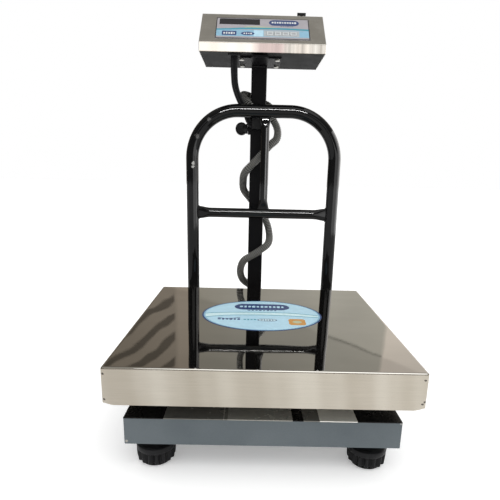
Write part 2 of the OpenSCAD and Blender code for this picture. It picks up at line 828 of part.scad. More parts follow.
module earth_lead() color("#202022") at_platform()
    sweep(EARTH_LEAD, lead_d / 2, 8, [-1, 0, 0], [0, 0, 1]);

// ---------- moving parts ----------

// The screw's axis runs along X through the boss on the column's left side
module clamp_knob() color("#202022") at_platform() translate([column_x, column_y, clamp_z]) {
    face = -column_w / 2;
    rod_x(m8_r, [face - 9, -mast_w / 2 - 0.3]);
    rod_x(9, [face - 11, face - 5.4]);
    translate([face - 18, 3.5, 0]) rotate([90, 0, 0]) oval(24, 25, 7, 48);
}

module foot_pad(f) color("#202022") at_platform() translate([f[0] * foot_x, f[1] * foot_y, 0]) {
    rod(knob_d / 2 - 6, [0, 3]);
    rod(stem_r, [3, stem_top]);
}

module foot_knob(f) color("#202022") at_platform() translate([f[0] * foot_x, f[1] * foot_y, 0]) {
    flute_r = 3.2;
    difference() {
        union() {
            translate([0, 0, knob_z]) cylinder(r1 = knob_d / 2 - 2, r2 = knob_d / 2, h = knob_top - knob_z);
            translate([0, 0, knob_top]) cylinder(r1 = 17, r2 = 11, h = hub_top - knob_top);
        }
        for (i = [0:knob_flutes - 1]) rotate([0, 0, 360 * i / knob_flutes])
            translate([knob_d / 2 + 1, 0, 0]) rod(flute_r, [knob_z - 1, flute_top]);
        rod(stem_r + running, [knob_z - 1, stem_top + 0.5]);
    }
    rod(stud_r, [hub_top - 4, stud_top]);
}

module foot_pad_front_left() foot_pad(FEET[0]);
module foot_pad_front_right() foot_pad(FEET[1]);
module foot_pad_rear_left() foot_pad(FEET[2]);
module foot_pad_rear_right() foot_pad(FEET[3]);
module foot_knob_front_left() foot_knob(FEET[0]);
module foot_knob_front_right() foot_knob(FEET[1]);
module foot_knob_rear_left() foot_knob(FEET[2]);
module foot_knob_rear_right() foot_knob(FEET[3]);

base_frame();
base_deck();
cross_channel();
foot_nut_plates();
foot_lock_nuts();
load_cell();
load_cell_spacers();
load_cell_screws();
overload_stops();
upper_frame();
pan_buffers();
cell_lead();
conduit_gland();
guard_sockets();
bracket_bolts();
guard_hoop();
guard_crossbar();
guard_strut();
column_bracket();
column_bolts();
column();
mast_bush();
conduit();
conduit_ferrule();
pan();
pan_label();
mast();
head_bracket();
head_screws();
head_base();
head_cover();
cover_screws();
membrane_panel();
display_window();
display_module();
key_board();
main_board();
board_standoffs();
battery();
battery_pads();
battery_strap();
charger_socket();
switch_body();
cable_grommet();
signal_lead();
earth_lead();
key_zero();
key_tare();
key_unit();
key_hold();
clamp_knob();
switch_lever();
foot_pad_front_left();
foot_pad_front_right();
foot_pad_rear_left();
foot_pad_rear_right();
foot_knob_front_left();
foot_knob_front_right();
foot_knob_rear_left();
foot_knob_rear_right();
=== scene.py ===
"""The looks of the bench platform scale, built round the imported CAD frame. Measures of the pieces
are in millimetres; at() and MM turn them into the metres of meshes, materials and lights."""

from math import atan2, copysign, cos, pi, radians, sin, sqrt

import bmesh
import bpy
from mathutils import Matrix, Vector


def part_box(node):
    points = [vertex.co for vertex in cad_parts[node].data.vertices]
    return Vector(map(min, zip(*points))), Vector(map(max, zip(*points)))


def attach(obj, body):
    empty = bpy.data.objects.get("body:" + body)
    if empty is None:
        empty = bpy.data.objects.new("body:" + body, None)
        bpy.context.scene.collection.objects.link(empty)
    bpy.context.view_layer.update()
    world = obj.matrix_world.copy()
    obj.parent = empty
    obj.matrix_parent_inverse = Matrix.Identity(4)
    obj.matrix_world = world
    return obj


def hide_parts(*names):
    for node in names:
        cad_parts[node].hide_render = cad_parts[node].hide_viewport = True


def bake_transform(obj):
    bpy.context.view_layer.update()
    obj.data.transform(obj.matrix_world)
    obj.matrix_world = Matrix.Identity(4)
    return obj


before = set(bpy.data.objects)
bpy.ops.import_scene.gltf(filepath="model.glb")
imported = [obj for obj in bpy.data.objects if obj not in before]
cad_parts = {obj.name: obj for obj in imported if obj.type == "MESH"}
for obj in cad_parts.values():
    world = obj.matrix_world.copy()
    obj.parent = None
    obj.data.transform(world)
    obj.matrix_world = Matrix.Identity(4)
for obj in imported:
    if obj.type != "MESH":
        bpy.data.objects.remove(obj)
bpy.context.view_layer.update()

MM = 0.001
PLATFORM_Y = (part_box("pan")[0][1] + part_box("pan")[1][1]) / 2


def at(x, y, z):
    """The point that is x, y, z millimetres from the platform's middle on the floor."""
    return Vector((x * MM, y * MM + PLATFORM_Y, z * MM))


# ---------- camera ----------


# Turns in degrees, the lens in millimetres, its shift in picture widths and the place in metres
YAW, PITCH, ROLL = 0.56, 14.551, 1.358
LENS = 32.43
LENS_SHIFT = (-0.0088, 0.0796)
CAMERA_AT = (-0.02066, -0.75358, 0.38681)


def new_object(name, data):
    obj = bpy.data.objects.new(name, data)
    bpy.context.collection.objects.link(obj)
    return obj


def place_camera():
    yaw, pitch, roll = (radians(a) for a in (YAW, PITCH, ROLL))
    forward = Vector((sin(yaw) * cos(pitch), cos(yaw) * cos(pitch), -sin(pitch)))
    level = Vector((cos(yaw), -sin(yaw), 0))
    above = level.cross(forward)
    right = level * cos(roll) + above * sin(roll)
    up = above * cos(roll) - level * sin(roll)
    data = bpy.data.cameras.new("camera")
    data.lens = LENS
    data.shift_x, data.shift_y = LENS_SHIFT
    camera = new_object("camera", data)
    turn = Matrix((right, up, -forward)).transposed().to_4x4()
    camera.matrix_world = Matrix.Translation(CAMERA_AT) @ turn
    bpy.context.scene.camera = camera


place_camera()

# ---------- meshes ----------


def add_loft(bm, rings, slot=0):
    """Joins rings of points into a skin, and closes its two ends."""
    rows = [[bm.verts.new(p) for p in ring] for ring in rings]
    count = len(rows[0])
    faces = []
    for low, high in zip(rows, rows[1:]):
        for i in range(count):
            j = (i + 1) % count
            faces.append(bm.faces.new((low[i], low[j], high[j], high[i])))
    faces.append(bm.faces.new(rows[0][::-1]))
    faces.append(bm.faces.new(rows[-1]))
    for face in faces:
        face.material_index = slot
        face.smooth = True
    return rows


def finish_mesh(name, bm, materials, sharp=35):
    """An object from a skin, with its edges sharp past an angle in degrees."""
    bmesh.ops.recalc_face_normals(bm, faces=bm.faces)
    for edge in bm.edges:
        edge.smooth = edge.calc_face_angle(0) < radians(sharp)
    mesh = bpy.data.meshes.new(name)
    bm.to_mesh(mesh)
    bm.free()
    for m in materials:
        mesh.materials.append(m)
    return new_object(name, mesh)


def piece(name, bm, materials, body, nodes=(), sharp=35):
    """A finished piece that rides on a body and may stand for CAD nodes."""
    obj = finish_mesh(name, bm, materials, sharp)
    if body:
        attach(obj, body)
    if nodes:
        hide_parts(*nodes)
    return obj


def frames_along(path):
    """The direction and two side vectors at each point of a path, without twist."""
    out = []
    side = None
    for i in range(len(path)):
        ahead = path[min(i + 1, len(path) - 1)] - path[max(i - 1, 0)]
        ahead.normalize()
        if side is None:
            side = ahead.cross(Vector((0, 0, 1)) if abs(ahead.z) < 0.9 else Vector((1, 0, 0)))
        side = (side - ahead * side.dot(ahead)).normalized()
        out.append((ahead, side, ahead.cross(side)))
    return out


def turns_of(count):
    """The angles of a full turn in equal steps."""
    return [2 * pi * k / count for k in range(count)]


def add_tube(bm, path, radius, sides):
    """A round skin along a path; radius is a number or a function of the distance along it."""
    rings = []
    travelled = 0
    previous = path[0]
    for point, (_, u, v) in zip(path, frames_along(path)):
        travelled += (point - previous).length
        previous = point
        r = radius(travelled) if callable(radius) else radius
        rings.append([point + (u * cos(a) + v * sin(a)) * r for a in turns_of(sides)])
    return add_loft(bm, rings)


def add_lathe(bm, profile, origin, axis, sides, slot=0, shape=None):
    """Turns a profile of (radius, height) millimetres round an axis; shape scales the radius by angle."""
    axis = Vector(axis).normalized()
    u = axis.cross(Vector((0, 0, 1)) if abs(axis.z) < 0.9 else Vector((0, 1, 0))).normalized()
    v = axis.cross(u)
    rings = []
    for r, h in profile:
        ring = []
        for a in turns_of(sides):
            scaled = shape(r, h, a) if shape else r
            ring.append(origin + (axis * h + (u * cos(a) + v * sin(a)) * scaled) * MM)
        rings.append(ring)
    add_loft(bm, rings, slot)


def smooth_path(points, step):
    """A Catmull-Rom curve through the points, cut into equal steps."""
    fine = []
    parts = 24
    padded = [points[0] * 2 - points[1]] + points + [points[-1] * 2 - points[-2]]
    for i in range(1, len(padded) - 2):
        a, b, c, d = padded[i - 1 : i + 3]
        for k in range(parts):
            t = k / parts
            fine.append(0.5 * (2 * b + (c - a) * t + (2 * a - 5 * b + 4 * c - d) * t * t
                               + (3 * b - a - 3 * c + d) * t ** 3))
    fine.append(points[-1])
    lengths = [0]
    for a, b in zip(fine, fine[1:]):
        lengths.append(lengths[-1] + (b - a).length)
    count = max(2, round(lengths[-1] / step))
    out = []
    j = 0
    for i in range(count + 1):
        target = lengths[-1] * i / count
        while j < len(fine) - 2 and lengths[j + 1] < target:
            j += 1
        span = lengths[j + 1] - lengths[j]
        out.append(fine[j].lerp(fine[j + 1], (target - lengths[j]) / span if span else 0))
    return out, lengths[-1]


# ---------- cords: diameters and routes in millimetres, the same as in part.scad ----------

CONDUIT_D = 13.5
LEAD_D = 6.0
CELL_LEAD_D = 4.5
CONDUIT = [
    [62, 200, 60], [62, 214, 61], [61, 230, 65], [56, 246, 74], [46, 259, 87], [33, 269, 102],
    [16, 277, 118], [-3, 283, 131], [-23, 283, 143], [-38, 273, 158], [-43, 258, 178],
    [-40, 246, 197], [-32, 237, 210], [-16, 234, 220], [2, 235, 232], [14, 242, 242],
    [18, 257, 254], [15, 270, 275], [5, 281, 296], [-12, 283, 317], [-28, 282, 337],
    [-39, 272, 353], [-40, 258, 370], [-38, 246, 383], [-30, 235, 395], [-15, 234, 410],
    [-1, 234, 425], [13, 238, 441], [25, 246, 452], [28, 252, 466], [24, 254, 480],
    [17, 256, 492], [14, 264, 503], [10, 277, 517], [-4, 284, 525], [-19, 285, 532],
    [-31, 280, 536.5], [-41, 269, 537], [-43, 255, 532], [-38, 244, 523], [-29, 236, 513],
    [-20, 235, 503],
]
SIGNAL_LEAD = [
    [-24, 235, 484], [-28, 235, 488], [-31, 234, 496], [-35, 232, 506], [-41, 231, 516],
    [-47, 227, 527], [-52, 221, 539], [-54.5, 213, 551], [-55, 204, 563], [-55, 198, 574],
    [-55, 195, 584], [-55, 195, 593],
]
EARTH_LEAD = [
    [-24, 235, 475], [-29, 235, 478], [-34, 234, 486], [-38, 233, 496], [-43.5, 232, 507.5],
    [-50.5, 229, 519.5], [-56.5, 223, 532.5], [-60.5, 215, 545.5], [-61.5, 206, 558], [-62, 199, 571],
    [-62, 195, 583], [-62, 195, 593],
]
CELL_LEAD = [
    [0, 75, 96], [0, 86, 95], [5, 100, 88], [20, 121, 82], [40, 146, 81],
    [54, 159, 81], [61, 164, 80], [62, 165, 74], [62, 166, 66], [62, 172, 60],
]

# ---------- materials ----------


class Nodes:
    """Short calls for one shader's nodes."""

    def __init__(self, tree):
        self.tree = tree
        self.coords = None

    def add(self, kind, inputs=None, **settings):
        node = self.tree.nodes.new(kind)
        for name, value in settings.items():
            setattr(node, name, value)
        for name, value in (inputs or {}).items():
            self.put(node, name, value)
        return node

    def put(self, node, name, value):
        if isinstance(value, bpy.types.NodeSocket):
            self.tree.links.new(value, node.inputs[name])
        else:
            node.inputs[name].default_value = value

    def place(self, stretch=None, turn=0.0):
        """The point on the object, in metres, stretched along each axis if asked."""
        if self.coords is None:
            self.coords = self.add("ShaderNodeTexCoord").outputs["Object"]
        if stretch is None:
            return self.coords
        inputs = {"Vector": self.coords, "Scale": stretch, "Rotation": (0, 0, turn)}
        return self.add("ShaderNodeMapping", inputs).outputs[0]

    def noise(self, scale, detail=3.0, vector=None, roughness=0.5):
        inputs = {"Vector": vector or self.place(), "Scale": scale, "Detail": detail, "Roughness": roughness}
        return self.add("ShaderNodeTexNoise", inputs).outputs["Fac"]

    def remap(self, value, source, target=(0.0, 1.0), smooth=False):
        kind = "SMOOTHSTEP" if smooth else "LINEAR"
        inputs = {0: value, 1: source[0], 2: source[1], 3: target[0], 4: target[1]}
        return self.add("ShaderNodeMapRange", inputs, interpolation_type=kind).outputs[0]

    def math(self, operation, a, b=0.0):
        return self.add("ShaderNodeMath", {0: a, 1: b}, operation=operation).outputs[0]

    def plus(self, a, b):
        return self.math("ADD", a, b)

    def minus(self, a, b):
        return self.math("SUBTRACT", a, b)

    def times(self, a, b):
        return self.math("MULTIPLY", a, b)

    def split(self, vector=None):
        """The x, y and z of a vector, or of the point on the object."""
        return self.add("ShaderNodeSeparateXYZ", {0: vector or self.place()}).outputs

    def along(self, value):
        """A vector along one line, for noise that changes with one value only."""
        return self.add("ShaderNodeCombineXYZ", {0: value}).outputs[0]

    def mix(self, factor, a, b, kind="MIX"):
        node = self.add("ShaderNodeMix", data_type="RGBA", blend_type=kind)
        for index, value in ((0, factor), (6, a), (7, b)):
            if isinstance(value, bpy.types.NodeSocket):
                self.tree.links.new(value, node.inputs[index])
            else:
                node.inputs[index].default_value = (*value, 1) if isinstance(value, tuple) else value
        return node.outputs[2]

    def tint(self, a, b):
        return self.mix(1.0, a, b, "MULTIPLY")

    def ramp(self, factor, stops, kind="LINEAR"):
        node = self.add("ShaderNodeValToRGB", {"Fac": factor})
        node.color_ramp.interpolation = kind
        while len(node.color_ramp.elements) < len(stops):
            node.color_ramp.elements.new(0.5)
        for element, (position, color) in zip(node.color_ramp.elements, stops):
            element.position = position
            element.color = (*color, 1)
        return node.outputs["Color"]

    def near(self, point, radius):
        """One at a point, falling to nothing at a ragged radius."""
        inputs = {0: self.place(), 1: tuple(point)}
        away = self.add("ShaderNodeVectorMath", inputs, operation="DISTANCE").outputs["Value"]
        rough = self.remap(self.noise(420.0), (0.3, 0.7), (-0.4 * radius, 0.4 * radius))
        ragged = self.plus(away, rough)
        return self.remap(ragged, (radius * 0.75, radius), (1.0, 0.0))

    def bump(self, height, distance, normal=None):
        inputs = {"Height": height, "Distance": distance, "Strength": 1.0}
        if normal:
            inputs["Normal"] = normal
        return self.add("ShaderNodeBump", inputs).outputs["Normal"]


def new_material(name):
    """A material with its shader and the short calls for its nodes."""
    material = bpy.data.materials.new(name)
    material.use_nodes = True
    return material, material.node_tree.nodes["Principled BSDF"], Nodes(material.node_tree)


def opened(material):
    """A finish's nodes and shader again, with its color so far."""
    shader = material.node_tree.nodes["Principled BSDF"]
    return Nodes(material.node_tree), shader, shader.inputs["Base Color"].links[0].from_socket


def finish_of(name, dark, light, roughness, relief, patch=14.0, stretch=None, dust=0.0, spots=(),
              **sockets):
    """A finish that wanders between two colours and two roughnesses over a patch size, with a fine
    relief of (scale, depth) and, if asked, dust and single spots of (point, radius, color): worn places, and
    on the black gloss enamel a painted highlight."""
    material, shader, nodes = new_material(name)
    where = nodes.place(stretch)
    broad = nodes.noise(patch, 5.0)
    fine = nodes.noise(relief[0], 3.0, where)
    color = nodes.mix(nodes.remap(broad, (0.3, 0.7)), dark, light)
    color = nodes.mix(nodes.remap(fine, (0.25, 0.75), (0.0, 0.18)), color, tuple(0.6 * c for c in dark))
    if dust:
        specks = nodes.noise(1900.0, 2.0)
        amount = nodes.remap(specks, (0.68, 0.78), (0.0, dust))
        color = nodes.mix(amount, color, (0.42, 0.40, 0.36))
    rough = nodes.remap(nodes.plus(broad, nodes.times(fine, 0.5)), (0.45, 1.05), roughness)
    for point, radius, spot_color in spots:
        mask = nodes.near(point, radius)
        color = nodes.mix(mask, color, spot_color)
        rough = nodes.math("MAXIMUM", rough, nodes.times(mask, 0.45))
    nodes.put(shader, "Base Color", color)
    nodes.put(shader, "Roughness", rough)
    nodes.put(shader, "Normal", nodes.bump(fine, relief[1]))
    for socket, value in sockets.items():
        shader.inputs[socket.replace("_", " ")].default_value = value
    return material


BARE_STEEL = (0.42, 0.40, 0.36)
# The grey of a real chip in the base's enamel, and of a painted highlight on the guard's left leg
CHIP_AND_HIGHLIGHT_GREY = (0.42, 0.42, 0.40)
WORN = (0.085, 0.083, 0.08)
enamel = finish_of(
    "blue_grey_enamel", (0.110, 0.134, 0.148), (0.140, 0.166, 0.180), (0.30, 0.42), (520.0, 0.00012),
    dust=0.3, spots=[(at(180.5, -181, 77), 0.0035, CHIP_AND_HIGHLIGHT_GREY), (at(-178, -181, 44), 0.0018, BARE_STEEL)],
    Specular_IOR_Level=0.4)
gloss_black = finish_of(
    "black_gloss_enamel", (0.0035, 0.0035, 0.004), (0.006, 0.006, 0.0065), (0.035, 0.07), (330.0, 0.00003),
    dust=0.06,
    spots=[(at(-128, 204, 452), 0.0045, WORN), (at(-105, 204, 483), 0.004, WORN),
           # The two grey spots on the left leg below its bend are a painted highlight; the two darker spots
           # above are wear
           (at(-136, 203.5, 402), 0.0035, CHIP_AND_HIGHLIGHT_GREY), (at(-136.5, 203.5, 396), 0.003, CHIP_AND_HIGHLIGHT_GREY)],
    Specular_IOR_Level=0.1, Coat_Weight=0.25, Coat_Roughness=0.04)
satin_black = finish_of(
    "black_satin_enamel", (0.0055, 0.0052, 0.006), (0.0085, 0.008, 0.009), (0.36, 0.5), (800.0, 0.0001),
    dust=0.1, Specular_IOR_Level=0.08)
rubber = finish_of(
    "rubber", (0.010, 0.010, 0.011), (0.020, 0.020, 0.021), (0.55, 0.75), (1400.0, 0.0002), dust=0.35,
    Specular_IOR_Level=0.3)
moulded = finish_of(
    "moulded_black_plastic", (0.009, 0.009, 0.010), (0.016, 0.016, 0.017), (0.28, 0.42), (1100.0, 0.0001),
    dust=0.2, Specular_IOR_Level=0.2)
cable = finish_of(
    "lead_sheath", (0.008, 0.008, 0.009), (0.014, 0.014, 0.015), (0.4, 0.5), (900.0, 0.0001),
    Specular_IOR_Level=0.12)
hose = finish_of(
    "grey_hose", (0.25, 0.245, 0.225), (0.38, 0.373, 0.35), (0.42, 0.56), (900.0, 0.0001), patch=22.0,
    dust=0.35, Specular_IOR_Level=0.4)
# Painted shade: the hose's grooves are made far darker than its own grey
hose_groove_shade = finish_of(
    "hose_painted_groove_shade", (0.018, 0.018, 0.016), (0.03, 0.03, 0.027), (0.5, 0.65), (900.0, 0.0001), patch=22.0,
    dust=0.2, Specular_IOR_Level=0.3)
zinc = finish_of(
    "zinc_plated", (0.50, 0.49, 0.45), (0.66, 0.65, 0.60), (0.22, 0.38), (900.0, 0.00005), patch=90.0,
    Metallic=1.0)
bright_stud = finish_of(
    "bright_stud", (0.62, 0.60, 0.56), (0.74, 0.72, 0.68), (0.16, 0.3), (1200.0, 0.00004), patch=60.0,
    Metallic=1.0)
milled = finish_of(
    "milled_aluminium", (0.60, 0.61, 0.62), (0.72, 0.73, 0.74), (0.26, 0.38), (900.0, 0.00006),
    Metallic=1.0, stretch=(1.0, 0.04, 1.0))
brass = finish_of(
    "brass", (0.52, 0.36, 0.14), (0.66, 0.48, 0.22), (0.22, 0.36), (1200.0, 0.00004), patch=80.0,
    Metallic=1.0)
CORNER_MARKS = [(-197.0, 148.0), (-197.0, 114.0), (195.5, 147.0), (195.0, 115.0), (198.0, 118.0)]
skirt_steel = finish_of(
    "satin_steel_skirt", (0.47, 0.435, 0.375), (0.535, 0.50, 0.445), (0.11, 0.17), (500.0, 0.00001),
    patch=7.0, Metallic=1.0, stretch=(0.04, 0.04, 1.0),
    spots=[(at(x, -200, z), 0.0017, (0.14, 0.13, 0.12)) for x, z in CORNER_MARKS])


def paint_skirt_reflections():
    """Painted reflections on the skirt: soft upright bands of warmer and lighter steel, and lighter steel
    towards the right.
    """
    nodes, shader, plain = opened(skirt_steel)
    x, y, z = nodes.split()
    along = nodes.along(nodes.plus(nodes.plus(x, y), nodes.times(z, 0.12)))
    # Painted reflection: upright bands of warmer and lighter steel, standing for what the satin skirt
    # mirrors
    bands = nodes.remap(nodes.noise(13.0, 2.0, along), (0.35, 0.65), smooth=True)
    tone = nodes.mix(bands, (0.94, 0.91, 0.86), (1.24, 1.24, 1.22))
    # Painted reflection: the skirt made lighter towards its right end
    lighter_right_reflection = nodes.mix(nodes.remap(x, (-0.12, 0.16)), (0.97, 0.97, 0.97), (1.10, 1.10, 1.10))
    nodes.put(shader, "Base Color", nodes.tint(nodes.tint(plain, tone), lighter_right_reflection))


paint_skirt_reflections()
black_oxide = finish_of(
    "black_oxide", (0.012, 0.012, 0.012), (0.022, 0.022, 0.022), (0.3, 0.45), (1200.0, 0.00005),
    Metallic=0.6)
underside = finish_of(
    "head_underside", (0.010, 0.010, 0.010), (0.022, 0.022, 0.021), (0.5, 0.7), (900.0, 0.0001), patch=40.0,
    dust=0.2, Specular_IOR_Level=0.08)
head_steel = finish_of(
    "satin_steel_head", (0.58, 0.565, 0.53), (0.66, 0.645, 0.61), (0.14, 0.2), (500.0, 0.00001), patch=30.0,
    Metallic=1.0, stretch=(0.05, 1.0, 1.0))


def paint_lip_reflection():
    """Painted reflection on the head's front lip: a pale band, darker and warmer in its middle, with darker
    upright streaks towards its right end.
    """
    nodes, shader, plain = opened(head_steel)
    x, y, z = nodes.split()
    along = nodes.along(x)
    broad = nodes.remap(nodes.noise(26.0, 1.0, along), (0.35, 0.65))
    narrow = nodes.remap(nodes.noise(90.0, 2.0, along), (0.3, 0.7))
    aside = nodes.math("ABSOLUTE", nodes.minus(x, 0.007))
    middle = nodes.remap(aside, (0.018, 0.036), (1.0, 0.0))
    beyond = nodes.times(nodes.remap(x, (0.028, 0.034)), narrow)
    # Painted reflection: these lip colours stand for what its polished face mirrors
    lip_reflection_color = nodes.mix(broad, (0.95, 0.92, 0.86), (0.88, 0.80, 0.72))
    lip_reflection_color = nodes.mix(middle, lip_reflection_color, nodes.mix(narrow, (0.66, 0.53, 0.50), (0.52, 0.42, 0.40)))
    lip_reflection_color = nodes.mix(beyond, lip_reflection_color, (0.42, 0.39, 0.35))
    below_slope = nodes.remap(z, (0.6085, 0.6075))
    in_front = nodes.remap(y, (0.126, 0.125))
    on_lip = nodes.times(below_slope, in_front)
    nodes.put(shader, "Base Color", nodes.mix(on_lip, plain, lip_reflection_color))
    dull = shader.inputs["Roughness"].links[0].from_socket
    shine = nodes.minus(1.0, nodes.times(on_lip, 0.62))
    nodes.put(shader, "Roughness", nodes.times(dull, shine))


paint_lip_reflection()
battery_case = finish_of(
    "battery_case", (0.022, 0.024, 0.028), (0.034, 0.037, 0.042), (0.4, 0.55), (700.0, 0.0001), dust=0.2)
foam = finish_of("foam", (0.03, 0.03, 0.03), (0.05, 0.05, 0.05), (0.8, 0.95), (1800.0, 0.0004))
smoked = finish_of(
    "smoked_window", (0.006, 0.006, 0.010), (0.010, 0.009, 0.014), (0.04, 0.09), (300.0, 0.00001), dust=0.15)


# The polished sheet's slope along x and y
SAG = (-0.0045, 0.016)


def mirror_finish():
    """Polished stainless sheet: a slow waviness, faint smears and fine wiping scratches."""
    material, shader, nodes = new_material("mirror_steel")
    smear = nodes.noise(9.0, 5.0, nodes.place((1.0, 2.2, 1.0), 0.35))
    scratch = nodes.noise(40.0, 2.0, nodes.place((1.2, 60.0, 1.0), 0.12), 0.7)
    scratched = nodes.remap(scratch, (0.66, 0.74))
    color = nodes.mix(nodes.remap(smear, (0.35, 0.7)), (0.615, 0.60, 0.565), (0.66, 0.64, 0.605))
    rough = nodes.remap(smear, (0.4, 0.75), (0.004, 0.02))
    rough = nodes.plus(rough, nodes.times(scratched, 0.02))
    wave = nodes.noise(7.0, 1.0)
    dulled = nodes.times(scratched, 0.2)
    nodes.put(shader, "Base Color", nodes.mix(dulled, color, (0.5, 0.48, 0.44)))
    nodes.put(shader, "Roughness", rough)
    fine = nodes.bump(scratch, 0.000002)
    x, y, _ = nodes.split()
    bow = nodes.plus(nodes.times(x, SAG[0]), nodes.times(y, SAG[1]))
    bowed = nodes.bump(bow, 1.0, fine)
    nodes.put(shader, "Normal", nodes.bump(wave, 0.0005, bowed))
    shader.inputs["Metallic"].default_value = 1.0
    return material


def board_finish():
    """A green board: copper runs under the lacquer and small pads."""
    material, shader, nodes = new_material("circuit_board")
    inputs = {"Vector": nodes.place(), "Scale": 160.0, "Color1": (0.012, 0.07, 0.025, 1),
              "Color2": (0.016, 0.085, 0.03, 1), "Mortar": (0.03, 0.13, 0.05, 1),
              "Mortar Size": 0.03}
    runs = nodes.add("ShaderNodeTexBrick", inputs).outputs["Color"]
    pads = nodes.add("ShaderNodeTexVoronoi", {"Vector": nodes.place(), "Scale": 260.0}).outputs["Distance"]
    color = nodes.mix(nodes.remap(pads, (0.10, 0.13), (1.0, 0.0)), runs, (0.6, 0.58, 0.5))
    nodes.put(shader, "Base Color", color)
    nodes.put(shader, "Roughness", nodes.remap(nodes.noise(60.0), (0.3, 0.7), (0.28, 0.4)))
    nodes.put(shader, "Normal", nodes.bump(pads, 0.0001))
    return material


mirror = mirror_finish()
deck_sheet = finish_of(
    "deck_sheet", (0.46, 0.45, 0.42), (0.56, 0.55, 0.51), (0.2, 0.32), (120.0, 0.00001),
    Metallic=0.35, Specular_IOR_Level=0.5)


def paint_deck_shade_and_reflections():
    """Painted shade and reflections across the deck sheet, in bands that change with x: dark ends and a dark
    band for the shade, middle levels, and one band paler than any paint for a painted reflection.
    """
    nodes, shader, plain = opened(deck_sheet)
    across = nodes.split()[0]
    half = 180.0
    # The four levels are painted shade and painted reflections on the deck sheet
    black, dull, mid_reflection_level, painted_reflection_level = ((v, v, 0.96 * v) for v in (0.02, 0.5, 0.95, 2.6))
    shade_and_reflection_levels = [(-half, black), (-130, dull), (-53, mid_reflection_level), (-51, dull), (-47, mid_reflection_level), (37, black), (52, dull),
              (72, painted_reflection_level), (121, black)]
    stops = [((x + half) / (2 * half), tone) for x, tone in shade_and_reflection_levels]
    tone = nodes.ramp(nodes.remap(across, (-half * MM, half * MM)), stops, "CONSTANT")
    nodes.put(shader, "Base Color", nodes.tint(plain, tone))


paint_deck_shade_and_reflections()
board = board_finish()


def print_ink(name, color):
    """Printed film: a flat ink with slight mottling."""
    darker = tuple(0.9 * c for c in color)
    return finish_of(name, darker, color, (0.3, 0.42), (1300.0, 0.00002), patch=120.0)


NAVY = print_ink("ink_navy", (0.022, 0.055, 0.19))
FIELD = print_ink("ink_light_blue", (0.50, 0.76, 0.90))
GLOW = print_ink("ink_pale_blue", (0.68, 0.90, 0.94))
TEAL = print_ink("ink_teal", (0.045, 0.33, 0.44))
ORANGE = print_ink("ink_orange", (0.64, 0.31, 0.07))
WHITE = print_ink("ink_white", (0.76, 0.78, 0.78))
PANEL_GREY = print_ink("ink_panel_grey", (0.42, 0.40, 0.43))
PANEL_BLACK = print_ink("ink_black", (0.012, 0.012, 0.014))
TINT = print_ink("ink_yellow_green", (0.52, 0.55, 0.36))
SKY = print_ink("ink_sky", (0.28, 0.52, 0.68))
KEY_GREY = print_ink("ink_key_grey", (0.46, 0.50, 0.52))

# ---------- CAD nodes that stay: softened edges and finishes ----------

# Each finish, with the nodes that have it and the width in millimetres of their rounded edges
KEPT = {
    enamel: {"base_frame": 1.0, "cross_channel": 0.8},
    deck_sheet: {"base_deck": 0.3},
    zinc: {"foot_nut_plates": 0.4, "foot_lock_nuts": 0.4, "load_cell_screws": 0.3, "overload_stops": 0.4,
        "bracket_bolts": 0.4, "head_screws": 0.3, "cover_screws": 0.15, "battery_strap": 0.3},
    milled: {"load_cell": 0.6, "load_cell_spacers": 0.5},
    satin_black: {"upper_frame": 0.8, "column_bracket": 0.6, "column": 0.3, "mast": 0.3,
        "head_bracket": 0.5},
    rubber: {"pan_buffers": 0.8, "cable_grommet": 0.5},
    moulded: {"conduit_gland": 0.5, "mast_bush": 0.5, "conduit_ferrule": 0.4, "charger_socket": 0.3,
        "switch_body": 0.3, "switch_lever": 0.6},
    gloss_black: {"guard_sockets": 0.8},
    black_oxide: {"column_bolts": 0.4},
    underside: {"head_base": 0.4},
    head_steel: {"head_cover": 0.8},
    smoked: {"display_window": 0.2},
    board: {"display_module": 0.1, "key_board": 0.1, "main_board": 0.1},
    brass: {"board_standoffs": 0.1},
    battery_case: {"battery": 1.0},
    foam: {"battery_pads": 0.4},
    WHITE: {"key_zero": 0.4, "key_tare": 0.4, "key_unit": 0.4, "key_hold": 0.4},
}


def soften(obj, width):
    """Joins the faces and rounds the edges; the CAD mesh itself isn't touched."""
    weld = obj.modifiers.new("weld", "WELD")
    weld.merge_threshold = 0.000005
    bevel = obj.modifiers.new("bevel", "BEVEL")
    bevel.width = width * MM
    bevel.segments = 3
    bevel.limit_method = "ANGLE"
    bevel.angle_limit = radians(40)
    bevel.miter_outer = "MITER_ARC"
    normals = obj.modifiers.new("normals", "WEIGHTED_NORMAL")
    normals.keep_sharp = False
    obj.data.polygons.foreach_set("use_smooth", [True] * len(obj.data.polygons))


for material, widths in KEPT.items():
    for node_name, width in widths.items():
        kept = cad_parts[node_name]
        for k in range(len(kept.data.materials)):
            kept.data.materials[k] = material
        soften(kept, width)

# ---------- platform ----------


# The signs of x and y in each quarter of an outline, anticlockwise
QUARTERS = [(1, 1), (-1, 1), (-1, -1), (1, -1)]


def rounded_square(half, corner, z, relief):
    """The outline of a square with rounded corners, in platform millimetres. The outline rises by
    the relief at each corner, and over a reach beside it."""
    corner = max(corner, 0.05)
    reach, steps = 12.0, 5
    backs = [reach * k / 4 for k in range(1, 5)]

    def point(inner, a, back=0.0, way=1):
        x = inner[0] + corner * cos(a) + way * sin(a) * back
        y = inner[1] + corner * sin(a) - way * cos(a) * back
        return at(x, y, z + relief * (1 - back / reach) ** 1.5)

    ring = []
    for quarter, (sx, sy) in enumerate(QUARTERS):
        inner = (sx * (half - corner), sy * (half - corner))
        turns = [radians(90 * (quarter + k / steps)) for k in range(steps + 1)]
        ring += [point(inner, turns[0], back) for back in reversed(backs)]
        ring += [point(inner, a) for a in turns]
        ring += [point(inner, turns[-1], back, -1) for back in backs]
    return ring


